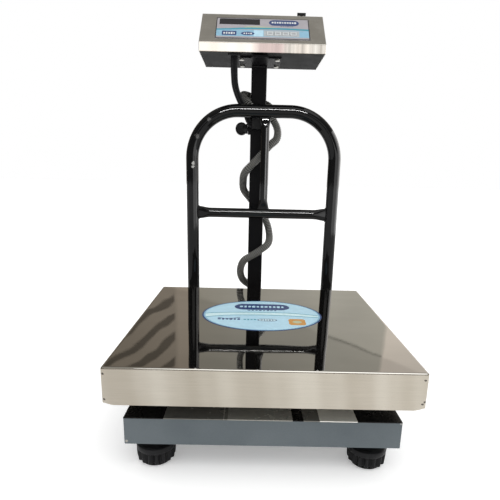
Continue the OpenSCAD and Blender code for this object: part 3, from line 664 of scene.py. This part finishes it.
def build_pan():
    """The tray: a mirror top and a satin skirt round a folded edge, open below."""
    half, top, low, wall, fold, corner, relief = 200, 156, 106, 1.5, 2.6, 3.2, 3.0
    bm = bmesh.new()
    profile = [(wall, top - wall, 0), (wall, low + 0.2, relief), (wall * 0.75, low, relief),
               (wall * 0.25, low, relief), (0, low + 0.2, relief), (0, top - fold, 0)]
    profile += [
        (fold * (1 - cos(a)), top - fold * (1 - sin(a)), 0)
        for a in (radians(90 * k / 6) for k in range(1, 6))
    ]
    profile += [(fold, top, 0), (fold + 1.5, top, 0)]
    rings = [rounded_square(half - inset, corner - inset * 0.8, z, rise) for inset, z, rise in profile]
    add_loft(bm, rings)
    for face in bm.faces:
        face.material_index = 0 if face.calc_center_median().z > (top - 0.45 * fold) * MM else 1
    piece("pan_tray", bm, [mirror, skirt_steel], "pan", ["pan"], sharp=45)


build_pan()

LABEL_Z = 156.0


def add_print(bm, outline, low, high, slot, place=at):
    """A thin printed shape from an outline of flat points, between two heights in millimetres."""
    rings = [[place(x, y, z) for x, y in outline] for z in (low, high)]
    add_loft(bm, rings, slot)
    for face in bm.faces:
        face.smooth = False


def ellipse(cx, cy, w, h, count=96):
    return [(cx + w / 2 * cos(a), cy + h / 2 * sin(a)) for a in turns_of(count)]


def pill(cx, cy, w, h, r=None, steps=8):
    """A rectangle with round corners, or a pill when no radius is given."""
    r = min(w, h) / 2 if r is None else r
    out = []
    for quarter, (sx, sy) in enumerate(QUARTERS):
        for k in range(steps + 1):
            a = radians(90 * (quarter + k / steps))
            out.append((cx + sx * (w / 2 - r) + r * cos(a), cy + sy * (h / 2 - r) + r * sin(a)))
    return out


def ribbon(upper, lower):
    """A band between two lines of points that both run left to right."""

    def curve(points):
        path, _ = smooth_path([Vector((x, y, 0)) for x, y in points], 3.0)
        return [(p.x, p.y) for p in path]

    return curve(lower) + curve(upper)[::-1]


def add_marks(bm, cx, cy, width, height, count, low, high, slot, place=at):
    """A row of plain rounded marks of uneven width."""
    pitch = width / count
    widths, heights = (0.78, 0.56, 0.66), (0.8, 1.0)
    for k in range(count):
        w = pitch * widths[k % 3]
        x = cx + (k - (count - 1) / 2) * pitch
        outline = pill(x, cy, w, height * heights[k % 2], min(w, height) * 0.3, 3)
        add_print(bm, outline, low, high, slot, place)


# The label's middle, size and layers, each layer from a low to a high height over the tray
LABEL_Y, LABEL_W, LABEL_L = 23.0, 200.0, 164.0
BORDER, FIELD_LAYER, BAND = (0.1, 0.235), (0.15, 0.24), (0.16, 0.25)
LINE, MARK, TOP_MARK, SWASH = (0.17, 0.262), (0.17, 0.265), (0.18, 0.275), (0.18, 0.27)


def build_label():
    """The oval label: two borders, a pale band, a badge and plain marks."""
    bm = bmesh.new()

    def on_label(outline, layer, slot):
        add_print(bm, outline, LABEL_Z + layer[0], LABEL_Z + layer[1], slot)

    def marks(cx, cy, width, height, count, layer, slot):
        add_marks(bm, cx, cy, width, height, count, LABEL_Z + layer[0], LABEL_Z + layer[1], slot)

    sheet = ellipse(0, LABEL_Y, LABEL_W, LABEL_L)
    rings = [[at(x * scale, LABEL_Y + (y - LABEL_Y) * scale, LABEL_Z + z) for x, y in sheet]
             for scale, z in ((1.0, 0.005), (1.0, 0.16), (0.9985, 0.22))]
    add_loft(bm, rings)
    for slot, inset, layer in ((1, 5, BORDER), (2, 10, FIELD_LAYER)):
        on_label(ellipse(0, LABEL_Y, LABEL_W - inset, LABEL_L - inset), layer, slot)
    upper = [(-94, 25), (-78, 29), (-54, 32.5), (-25, 34.5), (0, 35.5), (25, 35.2), (48, 33.5),
             (76, 28), (94, 22)]
    lower = [(-93, 5), (-76, 11.5), (-53, 17), (-25, 19.5), (0, 20.5), (25, 20.2), (47, 18.5),
             (74, 15), (93.5, 12)]
    on_label(ribbon(upper, lower), BAND, 3)
    for line in (upper, lower):
        thick = [(x, y - 2.6) for x, y in line]
        on_label(ribbon(line, thick), LINE, 4)
    on_label(pill(1, 66, 97, 35), BAND, 0)
    marks(1, 67, 80, 11, 11, MARK, 2)
    marks(1, 45, 52, 4, 8, MARK, 0)
    on_label(pill(56, -14, 27, 31, 6), BAND, 6)
    on_label(ellipse(56, -14, 15, 13, 32), MARK, 7)
    on_label(ellipse(8, -7, 32, 14, 48), BAND, 0)
    on_label(ellipse(8, -7, 28.5, 11, 48), MARK, 3)
    marks(8, -7, 22, 5, 5, TOP_MARK, 0)
    marks(-54, -5, 38, 8, 6, LINE, 0)
    swash = [(-73, 4), (-60, -1), (-47, 1), (-36, 6)]
    on_label(ribbon(swash, [(x, y - 2.4) for x, y in swash]), SWASH, 0)
    marks(-20, -6, 22, 5, 4, LINE, 4)
    inks = [NAVY, SKY, FIELD, GLOW, TEAL, WHITE, ORANGE, TINT]
    piece("label_print", bm, inks, "pan", ["pan_label"], sharp=20)


build_label()

# ---------- guard ----------

GUARD_Y = 215.0
GUARD_X = 139.0
GUARD_R = 12.0
GUARD_TOP = 501.0
LEG_BOTTOM = 44.0
BEND = 90.0
CROSSBAR_Z = 308.0
CROSSBAR_R = 9.5
STRUT_X = 2.0
STRUT_R = 8.0


def build_guard_hoop():
    """One tube: up a leg, round two bends and down the other leg."""
    bend_z = GUARD_TOP - BEND
    flat = GUARD_X - BEND
    steps = 24

    def leg(side, k):
        return at(side * GUARD_X, GUARD_Y, LEG_BOTTOM + (bend_z - LEG_BOTTOM) * k / steps)

    def bend(side, k):
        a = radians(90 * k / steps)
        return at(side * (flat + BEND * cos(a)), GUARD_Y, bend_z + BEND * sin(a))

    points = [leg(-1, k) for k in range(steps)] + [bend(-1, k) for k in range(steps + 1)]
    points += [at(-flat + 2 * flat * k / 8, GUARD_Y, GUARD_TOP) for k in range(1, 8)]
    points += [bend(1, steps - k) for k in range(steps + 1)]
    points += [leg(1, steps - k) for k in range(1, steps + 1)]
    bm = bmesh.new()
    add_tube(bm, points, GUARD_R * MM, 48)
    piece("guard_hoop_tube", bm, [gloss_black], "base", ["guard_hoop"])


def section(cx, cy, cz, across, tall, power, along):
    """A rounded outline round a bar along x or z: from a circle, power 2, to a soft rectangle."""
    ring = []
    for a in turns_of(40):
        c, s = cos(a), sin(a)
        u = across * copysign(abs(c) ** (2 / power), c)
        v = tall * copysign(abs(s) ** (2 / power), s)
        ring.append(at(cx, cy + u, cz + v) if along == "x" else at(cx + v, cy + u, cz))
    return ring


def pressed_rings(low, high, r, wide, thin, reach, along, centre):
    """A round bar whose two ends are pressed flat over a reach, as outlines along it."""
    rings = []
    count = 64
    for k in range(count + 1):
        p = low + (high - low) * (0.5 - 0.5 * cos(pi * k / count))
        edge = min(p - low, high - p)
        t = max(0.0, min(1.0, 1 - edge / reach))
        t = t * t * (3 - 2 * t)
        across, tall, power = r + (thin - r) * t, r + (wide - r) * t, 2 + 1.6 * t
        place = (p, *centre) if along == "x" else (*centre, p)
        rings.append(section(*place, across, tall, power, along))
    return rings


def build_crossbar():
    bm = bmesh.new()
    end = GUARD_X - GUARD_R + 0.4
    add_loft(bm, pressed_rings(-end, end, CROSSBAR_R, 12.4, 5.4, 24, "x", (GUARD_Y, CROSSBAR_Z)))
    piece("guard_crossbar_pressed", bm, [gloss_black], "base", ["guard_crossbar"])


def build_strut():
    bm = bmesh.new()
    low, high = CROSSBAR_Z + 9.0, GUARD_TOP - GUARD_R + 0.5
    add_loft(bm, pressed_rings(low, high, STRUT_R, 10.8, 4.6, 18, "z", (STRUT_X, GUARD_Y)))
    piece("guard_strut_pressed", bm, [gloss_black], "base", ["guard_strut"])


def add_bead(bm, path, radius):
    """A weld bead with its ripples, along a path, with its radius in millimetres."""
    path, _ = smooth_path(path, 0.5 * MM)

    def rippled(distance):
        d = distance / MM
        return radius * MM * (1 + 0.14 * sin(4.2 * d) + 0.1 * sin(1.3 * d))

    add_tube(bm, path, rippled, 10)


def build_welds():
    """Beads round the crossbar's and the strut's pressed ends and over the guard's sockets."""
    bm = bmesh.new()
    turns = [2 * pi * k / 20.5 for k in range(21)]
    proud = 0.2
    for side in (-1, 1):
        loop = []
        for a in turns:
            y, z = 5.8 * cos(a), 12.6 * sin(a)
            x = GUARD_X - sqrt((GUARD_R + proud) ** 2 - y * y)
            loop.append(at(side * x, GUARD_Y + y, CROSSBAR_Z + z))
        add_bead(bm, loop, 1.25)
    for z, sign, bar_r in ((CROSSBAR_Z, 1, CROSSBAR_R), (GUARD_TOP, -1, GUARD_R)):
        loop = []
        for a in turns:
            x, y = 10.6 * cos(a), 5.0 * sin(a)
            rise = sqrt((bar_r + proud) ** 2 - y * y)
            loop.append(at(STRUT_X + x, GUARD_Y + y, z + sign * rise))
        add_bead(bm, loop, 1.1)
    half_seam = [(9.2, 44), (9.2, 60), (9.2, 73), (8, 74.2)]
    seam = [(-x, z) for x, z in half_seam] + [(0, 74.3)] + half_seam[::-1]
    for side in (-1, 1):
        add_bead(bm, [at(side * GUARD_X + x, 185.4, z) for x, z in seam], 1.2)
    piece("weld_beads", bm, [gloss_black], "base")


build_guard_hoop()
build_crossbar()
build_strut()
build_welds()

# ---------- conduit and leads ----------


def route(points):
    return [at(*p) for p in points]


def build_conduit():
    """The corrugated conduit: ribs of one pitch and depth along the route, and plain cuffs."""
    pitch, depth = 3.6, 0.85
    path, length = smooth_path(route(CONDUIT), 0.72 * MM)
    bm = bmesh.new()

    def ribbed(distance):
        if distance < 2 * MM or distance > length - 2 * MM:
            return (CONDUIT_D / 2 - 0.4) * MM
        wave = cos(2 * pi * distance / MM / pitch)
        return (CONDUIT_D / 2 + depth * (0.25 + wave)) * MM

    rows = add_tube(bm, path, ribbed, 20)
    mean = (CONDUIT_D / 2 + depth * 0.25) * MM
    # Painted shade: faces that sink inside the mean radius, in the grooves, take the dark groove material
    for row, middle in zip(rows, path):
        if (row[0].co - middle).length < mean:
            for face in {f for v in row for f in v.link_faces}:
                face.material_index = 1
    obj = piece("conduit_hose", bm, [hose, hose_groove_shade], "base", ["conduit"], sharp=180)
    [tuple(p) for p in path[::4] + [path[-1]]]


def build_lead(name, points, diameter, node, crosses):
    """A smooth lead on the base, which rides on no body if it crosses the mast's joint from the base to the
    head.
    """
    path, length = smooth_path(route(points), 1.5 * MM)
    bm = bmesh.new()
    add_tube(bm, path, diameter / 2 * MM, 16)
    body = None if crosses else "base"
    obj = piece(name, bm, [cable], body, [node] if node else [], sharp=60)
    if crosses:
        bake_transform(obj)


build_conduit()
build_lead("signal_cable", SIGNAL_LEAD, LEAD_D, "signal_lead", True)
build_lead("earth_cable", EARTH_LEAD, LEAD_D, "earth_lead", True)
build_lead("cell_cable", CELL_LEAD, CELL_LEAD_D, "cell_lead", False)
# The thin filler that closes the bundle between the two leads
FILLER_D = 3.8
FILLER = [[(a + b) / 2 for a, b in zip(p, q)] for p, q in zip(SIGNAL_LEAD, EARTH_LEAD)]
build_lead("filler_cable", FILLER, FILLER_D, None, True)


def build_ferrule_rings():
    """The ferrule's end ring, ribs and crimp, on the conduit's end."""
    bm = bmesh.new()
    start = at(*CONDUIT[-1])
    axis = Vector((0.6, 0, -0.8))
    profile = [(6.9, -1.2), (7.9, -1.2), (8.2, -0.8), (8.2, 2.6), (7.9, 3.0), (7.62, 3.2),
               (7.62, 7), (7.9, 7.3), (7.9, 9.2), (7.62, 9.5), (7.62, 11.5), (7.9, 11.8),
               (7.9, 13.7), (7.62, 14), (7.62, 18.4), (7.3, 19.6), (6.6, 20.2), (5.5, 20.3)]
    add_lathe(bm, profile, start, axis, 40)
    piece("ferrule_rings", bm, [moulded], "base", sharp=30)


build_ferrule_rings()

# ---------- clamp knob ----------

COLUMN = (-12.0, 258.0)
COLUMN_W = 30.0
CLAMP_Z = 472.0


def threaded(bm, origin, axis, r, length, pitch, slot, depth=0.45):
    """A rod with a helical thread."""
    count = max(8, round(length / pitch * 6))

    def shape(radius, h, a):
        turn = (h / pitch - a / (2 * pi)) % 1.0
        fade = min(1.0, (length - h) / pitch, h / pitch + 0.2)
        return radius - depth * fade * abs(2 * turn - 1)

    profile = [(r, length * k / count) for k in range(count + 1)]
    add_lathe(bm, profile, origin, axis, 28, slot, shape)


def build_clamp_knob():
    """An oval paddle with a raised rim and a stepped hub, on its threaded screw."""
    cx, cy = COLUMN
    face = cx - COLUMN_W / 2
    bm = bmesh.new()
    half = [(0.02, 2.2), (0.72, 2.2), (0.78, 2.5), (0.84, 3.5), (0.93, 3.4), (0.985, 2.6), (1.0, 1.2)]
    rim = [(scale, -w) for scale, w in half] + half[::-1]
    middle, paddle_w, paddle_l = face - 18, 24, 25
    rings = []
    for scale, w in rim:
        rx, rz = scale * paddle_w / 2, scale * paddle_l / 2
        rings.append([at(middle + rx * cos(a), cy + w, CLAMP_Z + rz * sin(a))
                      for a in turns_of(64)])
    add_loft(bm, rings)
    hub = [(9.0, -5.4), (9.5, -6.4), (9.5, -8.4), (8.9, -9.9), (7.6, -12.0), (5.6, -15.0)]
    add_lathe(bm, hub, at(face, cy, CLAMP_Z), (1, 0, 0), 36)
    threaded(bm, at(face - 8.5, cy, CLAMP_Z), (1, 0, 0), 4.0, 11.3, 1.25, 1, 0.35)
    piece("clamp_paddle", bm, [moulded, bright_stud], "clamp_knob", ["clamp_knob"])


build_clamp_knob()

# ---------- feet ----------

FEET = {"front_left": (-1, -1), "front_right": (1, -1), "rear_left": (-1, 1), "rear_right": (1, 1)}
FOOT_X, FOOT_Y = 146.0, 150.0
FLUTES, FLUTE_DEPTH, FLUTE_TOP = 16, 4.0, 19.5


def fluted(radius, height, a):
    """Rounded lobes with flutes between them, up to the knob's smooth collar."""
    if radius < 20 or height > FLUTE_TOP:
        return radius
    groove = (0.5 + 0.5 * cos(FLUTES * a)) ** 1.1
    fade = min(1.0, (radius - 19) / 5, (FLUTE_TOP - height) / 1.2)
    return radius - FLUTE_DEPTH * groove * fade


def build_foot(corner, sx, sy):
    """A fluted knob on its threaded stud, and the rubber pad under it."""
    origin = at(sx * FOOT_X, sy * FOOT_Y, 0)
    bm = bmesh.new()
    profile = [(5.3, 3.4), (22.5, 3.4), (24.4, 3.7), (25.6, 4.8), (26.0, 7), (26.4, 12),
               (26.6, 17.6), (26.3, 18.4), (25.9, 18.9), (25.7, 19.5), (26.0, 20.4), (26.5, 21.2),
               (26.7, 24), (26.8, 26), (26.4, 27.3), (25.2, 28.0), (23.0, 28.3), (18.0, 28.4),
               (17.0, 28.8), (15.8, 30.2), (13.2, 31.6), (11.6, 32.6), (10.6, 33.0), (5.0, 33.0)]
    add_lathe(bm, profile, origin, (0, 0, 1), 192, 0, fluted)
    threaded(bm, origin + Vector((0, 0, 29 * MM)), (0, 0, 1), 6.0, 41.0, 1.75, 1)
    knob = "foot_knob_" + corner
    piece("foot_grip_" + corner, bm, [moulded, bright_stud], knob, [knob])
    bm = bmesh.new()
    pad = [(19.0, 0.0), (20.4, 0.2), (21.0, 0.9), (21.0, 1.9), (20.5, 2.6), (19.2, 3.0),
           (9.0, 3.0), (5.4, 3.1), (5.0, 3.6), (5.0, 13.6), (4.6, 14.0), (1.0, 14.0)]
    add_lathe(bm, pad, origin, (0, 0, 1), 64)
    piece("foot_sole_" + corner, bm, [rubber], "foot_pad_" + corner, ["foot_pad_" + corner])


for corner, (sx, sy) in FEET.items():
    build_foot(corner, sx, sy)

# ---------- display head ----------

HEAD = (-8.0, 174.0, 593.0)
HEAD_LIP, HEAD_RISE, HEAD_RUN = 15.0, 65.0, 70.0
SLOPE = atan2(HEAD_RISE, HEAD_RUN)


def on_slope(x, s, out):
    """A point of the sloping front, from the middle of its lower edge, in millimetres."""
    c, n = cos(SLOPE), sin(SLOPE)
    return at(HEAD[0] + x, HEAD[1] + s * c - out * n, HEAD[2] + HEAD_LIP + s * n + out * c)


# The panel's thickness, its edges and its openings: left, right, lower and upper, on the slope
PANEL_T = 0.8
PANEL_AREA = (-85.0, 85.0, 12.5, 81.5)
FIRST_KEY, KEY_PITCH, KEY_S = 13.4, 14.0, 30.0
KEY_X = [FIRST_KEY + KEY_PITCH * i for i in range(4)]
KEY_HOLES = [(x - 5.9, x + 5.9, KEY_S - 5.7, KEY_S + 5.7) for x in KEY_X]
WINDOW_HOLE = (-79.0, -5.0, 58.4, 78.6)


def add_plate(bm, area, holes, low, high, slot, place):
    """A thin plate with square holes, between two heights."""
    xs = sorted({area[0], area[1], *(v for h in holes for v in h[:2])})
    ys = sorted({area[2], area[3], *(v for h in holes for v in h[2:])})
    xs = [x for x in xs if area[0] <= x <= area[1]]
    ys = [y for y in ys if area[2] <= y <= area[3]]

    def solid(i, j):
        if not (0 <= i < len(xs) - 1 and 0 <= j < len(ys) - 1):
            return False
        x, y = (xs[i] + xs[i + 1]) / 2, (ys[j] + ys[j + 1]) / 2
        return not any(h[0] < x < h[1] and h[2] < y < h[3] for h in holes)

    corners = {}

    def corner(i, j, h):
        if (i, j, h) not in corners:
            corners[i, j, h] = bm.verts.new(place(xs[i], ys[j], h))
        return corners[i, j, h]

    def face(*points):
        made = bm.faces.new([corner(*p) for p in points])
        made.material_index = slot

    for i in range(len(xs) - 1):
        for j in range(len(ys) - 1):
            if not solid(i, j):
                continue
            face((i, j, high), (i + 1, j, high), (i + 1, j + 1, high), (i, j + 1, high))
            face((i, j + 1, low), (i + 1, j + 1, low), (i + 1, j, low), (i, j, low))
            for di, dj, a, b in ((0, -1, (i, j), (i + 1, j)), (1, 0, (i + 1, j), (i + 1, j + 1)),
                                 (0, 1, (i + 1, j + 1), (i, j + 1)), (-1, 0, (i, j + 1), (i, j))):
                if not solid(i + di, j + dj):
                    face((*a, low), (*b, low), (*b, high), (*a, high))


def build_panel():
    """The front panel with its openings, its border, bands and badges."""
    bm = bmesh.new()
    low, high = PANEL_T - 0.3, PANEL_T + 0.02
    badge, mark = high + 0.02, high + 0.035

    def plate(area, holes, top, slot):
        add_plate(bm, area, holes, low, top, slot, on_slope)

    def ink(outline, top, slot):
        add_print(bm, outline, low, top, slot, on_slope)

    def marks(cx, cy, width, height, count, top, slot):
        add_marks(bm, cx, cy, width, height, count, low, top, slot, on_slope)

    add_plate(bm, PANEL_AREA, KEY_HOLES + [WINDOW_HOLE], 0.0, PANEL_T, 0, on_slope)
    plate((-83.2, 83.2, 19, 41), KEY_HOLES, high - 0.01, 4)
    plate((2, 66, 20.5, 39.5), KEY_HOLES, high, 6)
    plate((-16, 1, 20, 40.5), [], high, 8)
    plate((-84.9, 84.9, 12.6, 81.4), [(-83.2, 83.2, 14.3, 79.7)], high + 0.01, 1)
    upper = [(-83.2, 43), (-60, 45), (-30, 48.5), (0, 49.5), (30, 49.5), (60, 48.5), (83.2, 47)]
    lower = [(-83.2, 38.5), (-60, 40.5), (-30, 43), (0, 44), (30, 44), (60, 43), (83.2, 41.5)]
    ink(ribbon(upper, lower), high + 0.01, 3)
    upper = [(-34, 51), (-18, 53.5), (-4, 53.5), (14, 51.5), (26, 50)]
    lower = [(-34, 48.4), (-18, 49.4), (-4, 49.6), (14, 49.6), (26, 49.5)]
    ink(ribbon(upper, lower), high, 5)
    ink(pill(39, 67, 55, 19), badge, 2)
    marks(39, 68, 46, 6.5, 10, mark, 7)
    marks(44, 55.4, 24, 2.2, 6, badge, 2)
    ink(pill(-60, 29, 26, 14, 1.5), badge, 2)
    marks(-60, 29, 22, 7, 5, mark, 7)
    ink(ellipse(-26.8, 28.7, 24, 12, 48), badge, 2)
    marks(-26.8, 28.7, 16, 5, 4, mark, 7)
    inks = [PANEL_GREY, PANEL_BLACK, NAVY, TEAL, SKY, TINT, KEY_GREY, WHITE, FIELD]
    piece("panel_film", bm, inks, "head", ["membrane_panel"], sharp=20)


build_panel()


def build_key_print():
    """A coloured field and a plain mark on each key."""
    for i, name in enumerate(("key_zero", "key_tare", "key_unit", "key_hold")):
        bm = bmesh.new()
        add_print(bm, pill(KEY_X[i], KEY_S, 8.4, 8.0, 1.2), 1.3, 1.64, 0, on_slope)
        add_print(bm, pill(KEY_X[i], KEY_S, 5.2, 2.4), 1.5, 1.67, 1, on_slope)
        piece(name + "_print", bm, [KEY_GREY, PANEL_GREY], name, sharp=20)


build_key_print()

# ---------- stage, lights and the room that the steel mirrors ----------


def build_floor():
    """A pale floor that fades into the background."""
    material, shader, nodes = new_material("pale_floor")
    cloud = nodes.remap(nodes.noise(3.0, 2.0), (0.3, 0.7))
    nodes.put(shader, "Base Color", nodes.mix(cloud, (0.925, 0.925, 0.923), (0.935, 0.935, 0.933)))
    seen = nodes.add("ShaderNodeLightPath").outputs["Is Camera Ray"]
    shader.inputs["Emission Color"].default_value = (1.0, 1.0, 1.0, 1.0)
    nodes.put(shader, "Emission Strength", nodes.times(seen, 0.28))
    shader.inputs["Roughness"].default_value = 0.9
    shader.inputs["Specular IOR Level"].default_value = 0.1
    bm = bmesh.new()
    bmesh.ops.create_grid(bm, x_segments=1, y_segments=1, size=14)
    floor = finish_mesh("floor", bm, [material])
    floor.location.z = -0.0003


def build_world():
    """Pale behind the object, even light on rough surfaces, and a dim room in polished ones."""
    world = bpy.data.worlds.new("studio")
    bpy.context.scene.world = world
    world.use_nodes = True
    tree = world.node_tree
    nodes = Nodes(tree)
    direction = nodes.add("ShaderNodeTexCoord").outputs["Generated"]
    x, y, z = nodes.split(direction)
    bearing = nodes.times(nodes.math("ARCTAN2", x, nodes.math("ABSOLUTE", y)), 57.3)
    bearing = nodes.plus(bearing, 114.6 * SAG[0])
    height = nodes.minus(nodes.times(nodes.math("ARCSINE", z), 57.3), 114.6 * SAG[1])
    cloud = nodes.noise(6.0, 3.0, direction)
    stops = [(-30, (0.26, 0.225, 0.18)), (-10.3, (0.30, 0.26, 0.215)), (-9.9, (0.37, 0.32, 0.265)),
             (-7.9, (0.37, 0.32, 0.265)), (-7.6, (0.33, 0.31, 0.265)), (-2, (0.38, 0.365, 0.32)),
             (6, (0.42, 0.405, 0.36)), (9.4, (0.46, 0.445, 0.39)), (9.6, (0.52, 0.505, 0.45)),
             (17.4, (0.50, 0.48, 0.425)), (17.7, (0.78, 0.71, 0.635)), (30, (0.82, 0.76, 0.70))]
    low, high = -35.0, 35.0
    stops = [((a - low) / (high - low), tone) for a, tone in stops]
    room = nodes.ramp(nodes.remap(bearing, (low, high)), stops)
    # Slanted dark bars in the room's left part
    slant = nodes.plus(nodes.times(bearing, 0.496), nodes.times(height, 0.868))
    slant = nodes.plus(nodes.times(slant, 2.6), nodes.times(cloud, 9.0))
    bars = nodes.remap(nodes.math("SINE", slant), (0.25, 0.34), (1.0, 0.42))
    left = nodes.remap(bearing, (-10.2, -10.5))
    room = nodes.mix(left, room, nodes.tint(room, bars))
    # A leaning edge in its right part, darker below
    slope = nodes.times(nodes.minus(bearing, 11.0), 0.246)
    step = nodes.minus(height, slope)
    line = nodes.remap(nodes.math("ABSOLUTE", nodes.minus(step, 19.8)), (0.08, 0.16), (0.45, 1.0))
    inside = nodes.times(nodes.remap(bearing, (9.4, 9.6)), nodes.remap(bearing, (17.6, 17.4)))
    room = nodes.mix(inside, room, nodes.tint(room, line))
    room = nodes.tint(room, nodes.remap(step, (19.8, 20.0), (1.0, 0.84)))
    room = nodes.tint(room, nodes.remap(z, (0.24, 0.45), (1.08, 0.80)))
    room = nodes.tint(room, nodes.remap(cloud, (0.3, 0.7), (0.93, 1.07)))
    stops = [(0.0, (0.24, 0.23, 0.215)), (0.45, (0.14, 0.135, 0.125)), (1.0, (0.30, 0.29, 0.265))]
    behind = nodes.ramp(nodes.remap(z, (-0.2, 0.9)), stops)
    room = nodes.mix(nodes.remap(y, (-0.1, 0.25)), behind, room)
    room = nodes.mix(nodes.remap(z, (0.5, 0.85)), room, (0.36, 0.345, 0.315))
    rays = nodes.add("ShaderNodeLightPath").outputs
    seen = nodes.mix(rays["Is Glossy Ray"], (0.84, 0.84, 0.84), room)
    seen = nodes.mix(rays["Is Camera Ray"], seen, (1.0, 1.0, 1.0))
    nodes.put(tree.nodes["Background"], "Color", seen)


def card(name, place, target, width, height, radiance, pieces=(), state="INCLUDE"):
    """A soft panel that shows only in glossy surfaces: in all of them, in the named pieces only, or
    with the state EXCLUDE in all but those."""
    light = bpy.data.lights.new(name, "AREA")
    light.shape = "RECTANGLE"
    light.size, light.size_y = width, height
    light.energy = 4 * width * height * radiance
    obj = new_object(name, light)
    obj.location = place
    obj.rotation_euler = (Vector(target) - Vector(place)).to_track_quat("-Z", "Y").to_euler()
    obj.visible_camera = False
    obj.visible_diffuse = False
    if pieces:
        linked = bpy.data.collections.new(name + "_pieces")
        for piece_name in pieces:
            linked.objects.link(bpy.data.objects[piece_name])
        for entry in linked.collection_objects:
            entry.light_linking.link_state = state
        obj.light_linking.receiver_collection = linked


def build_lights():
    """A wide sun, and the cards that draw the highlights in the black enamel and the steel."""
    light = bpy.data.lights.new("sun", "SUN")
    light.energy = 0.9
    light.angle = radians(50)
    sun = new_object("sun", light)
    sun.rotation_euler = (radians(18), radians(12), 0)
    guard = ["guard_hoop_tube", "guard_crossbar_pressed", "guard_strut_pressed"]
    card("lamp_front", (0.0, -0.5, 0.81), (0, 0.16, 0.42), 0.47, 0.04, 130.0, guard)
    card("strip_guard", (1.15, -1.48, 0.37), (0, 0.16, 0.37), 1.6, 0.7, 2.0, guard)
    card("strip_strut", (1.25, -1.4, 0.47), (0, 0.16, 0.47), 0.9, 0.5, 7.0, guard[2:])
    card("panel_right", (2.2, 0.5, 0.6), (0, 0.5, 0.5), 3.0, 2.4, 3.2, ["pan_tray"], "EXCLUDE")
    card("strip_front", (0.0, -2.6, 1.26), (0, 0.12, 0.6), 2.6, 0.5, 0.85)


build_floor()
build_world()
build_lights()
bpy.context.scene.view_settings.view_transform = "Standard"
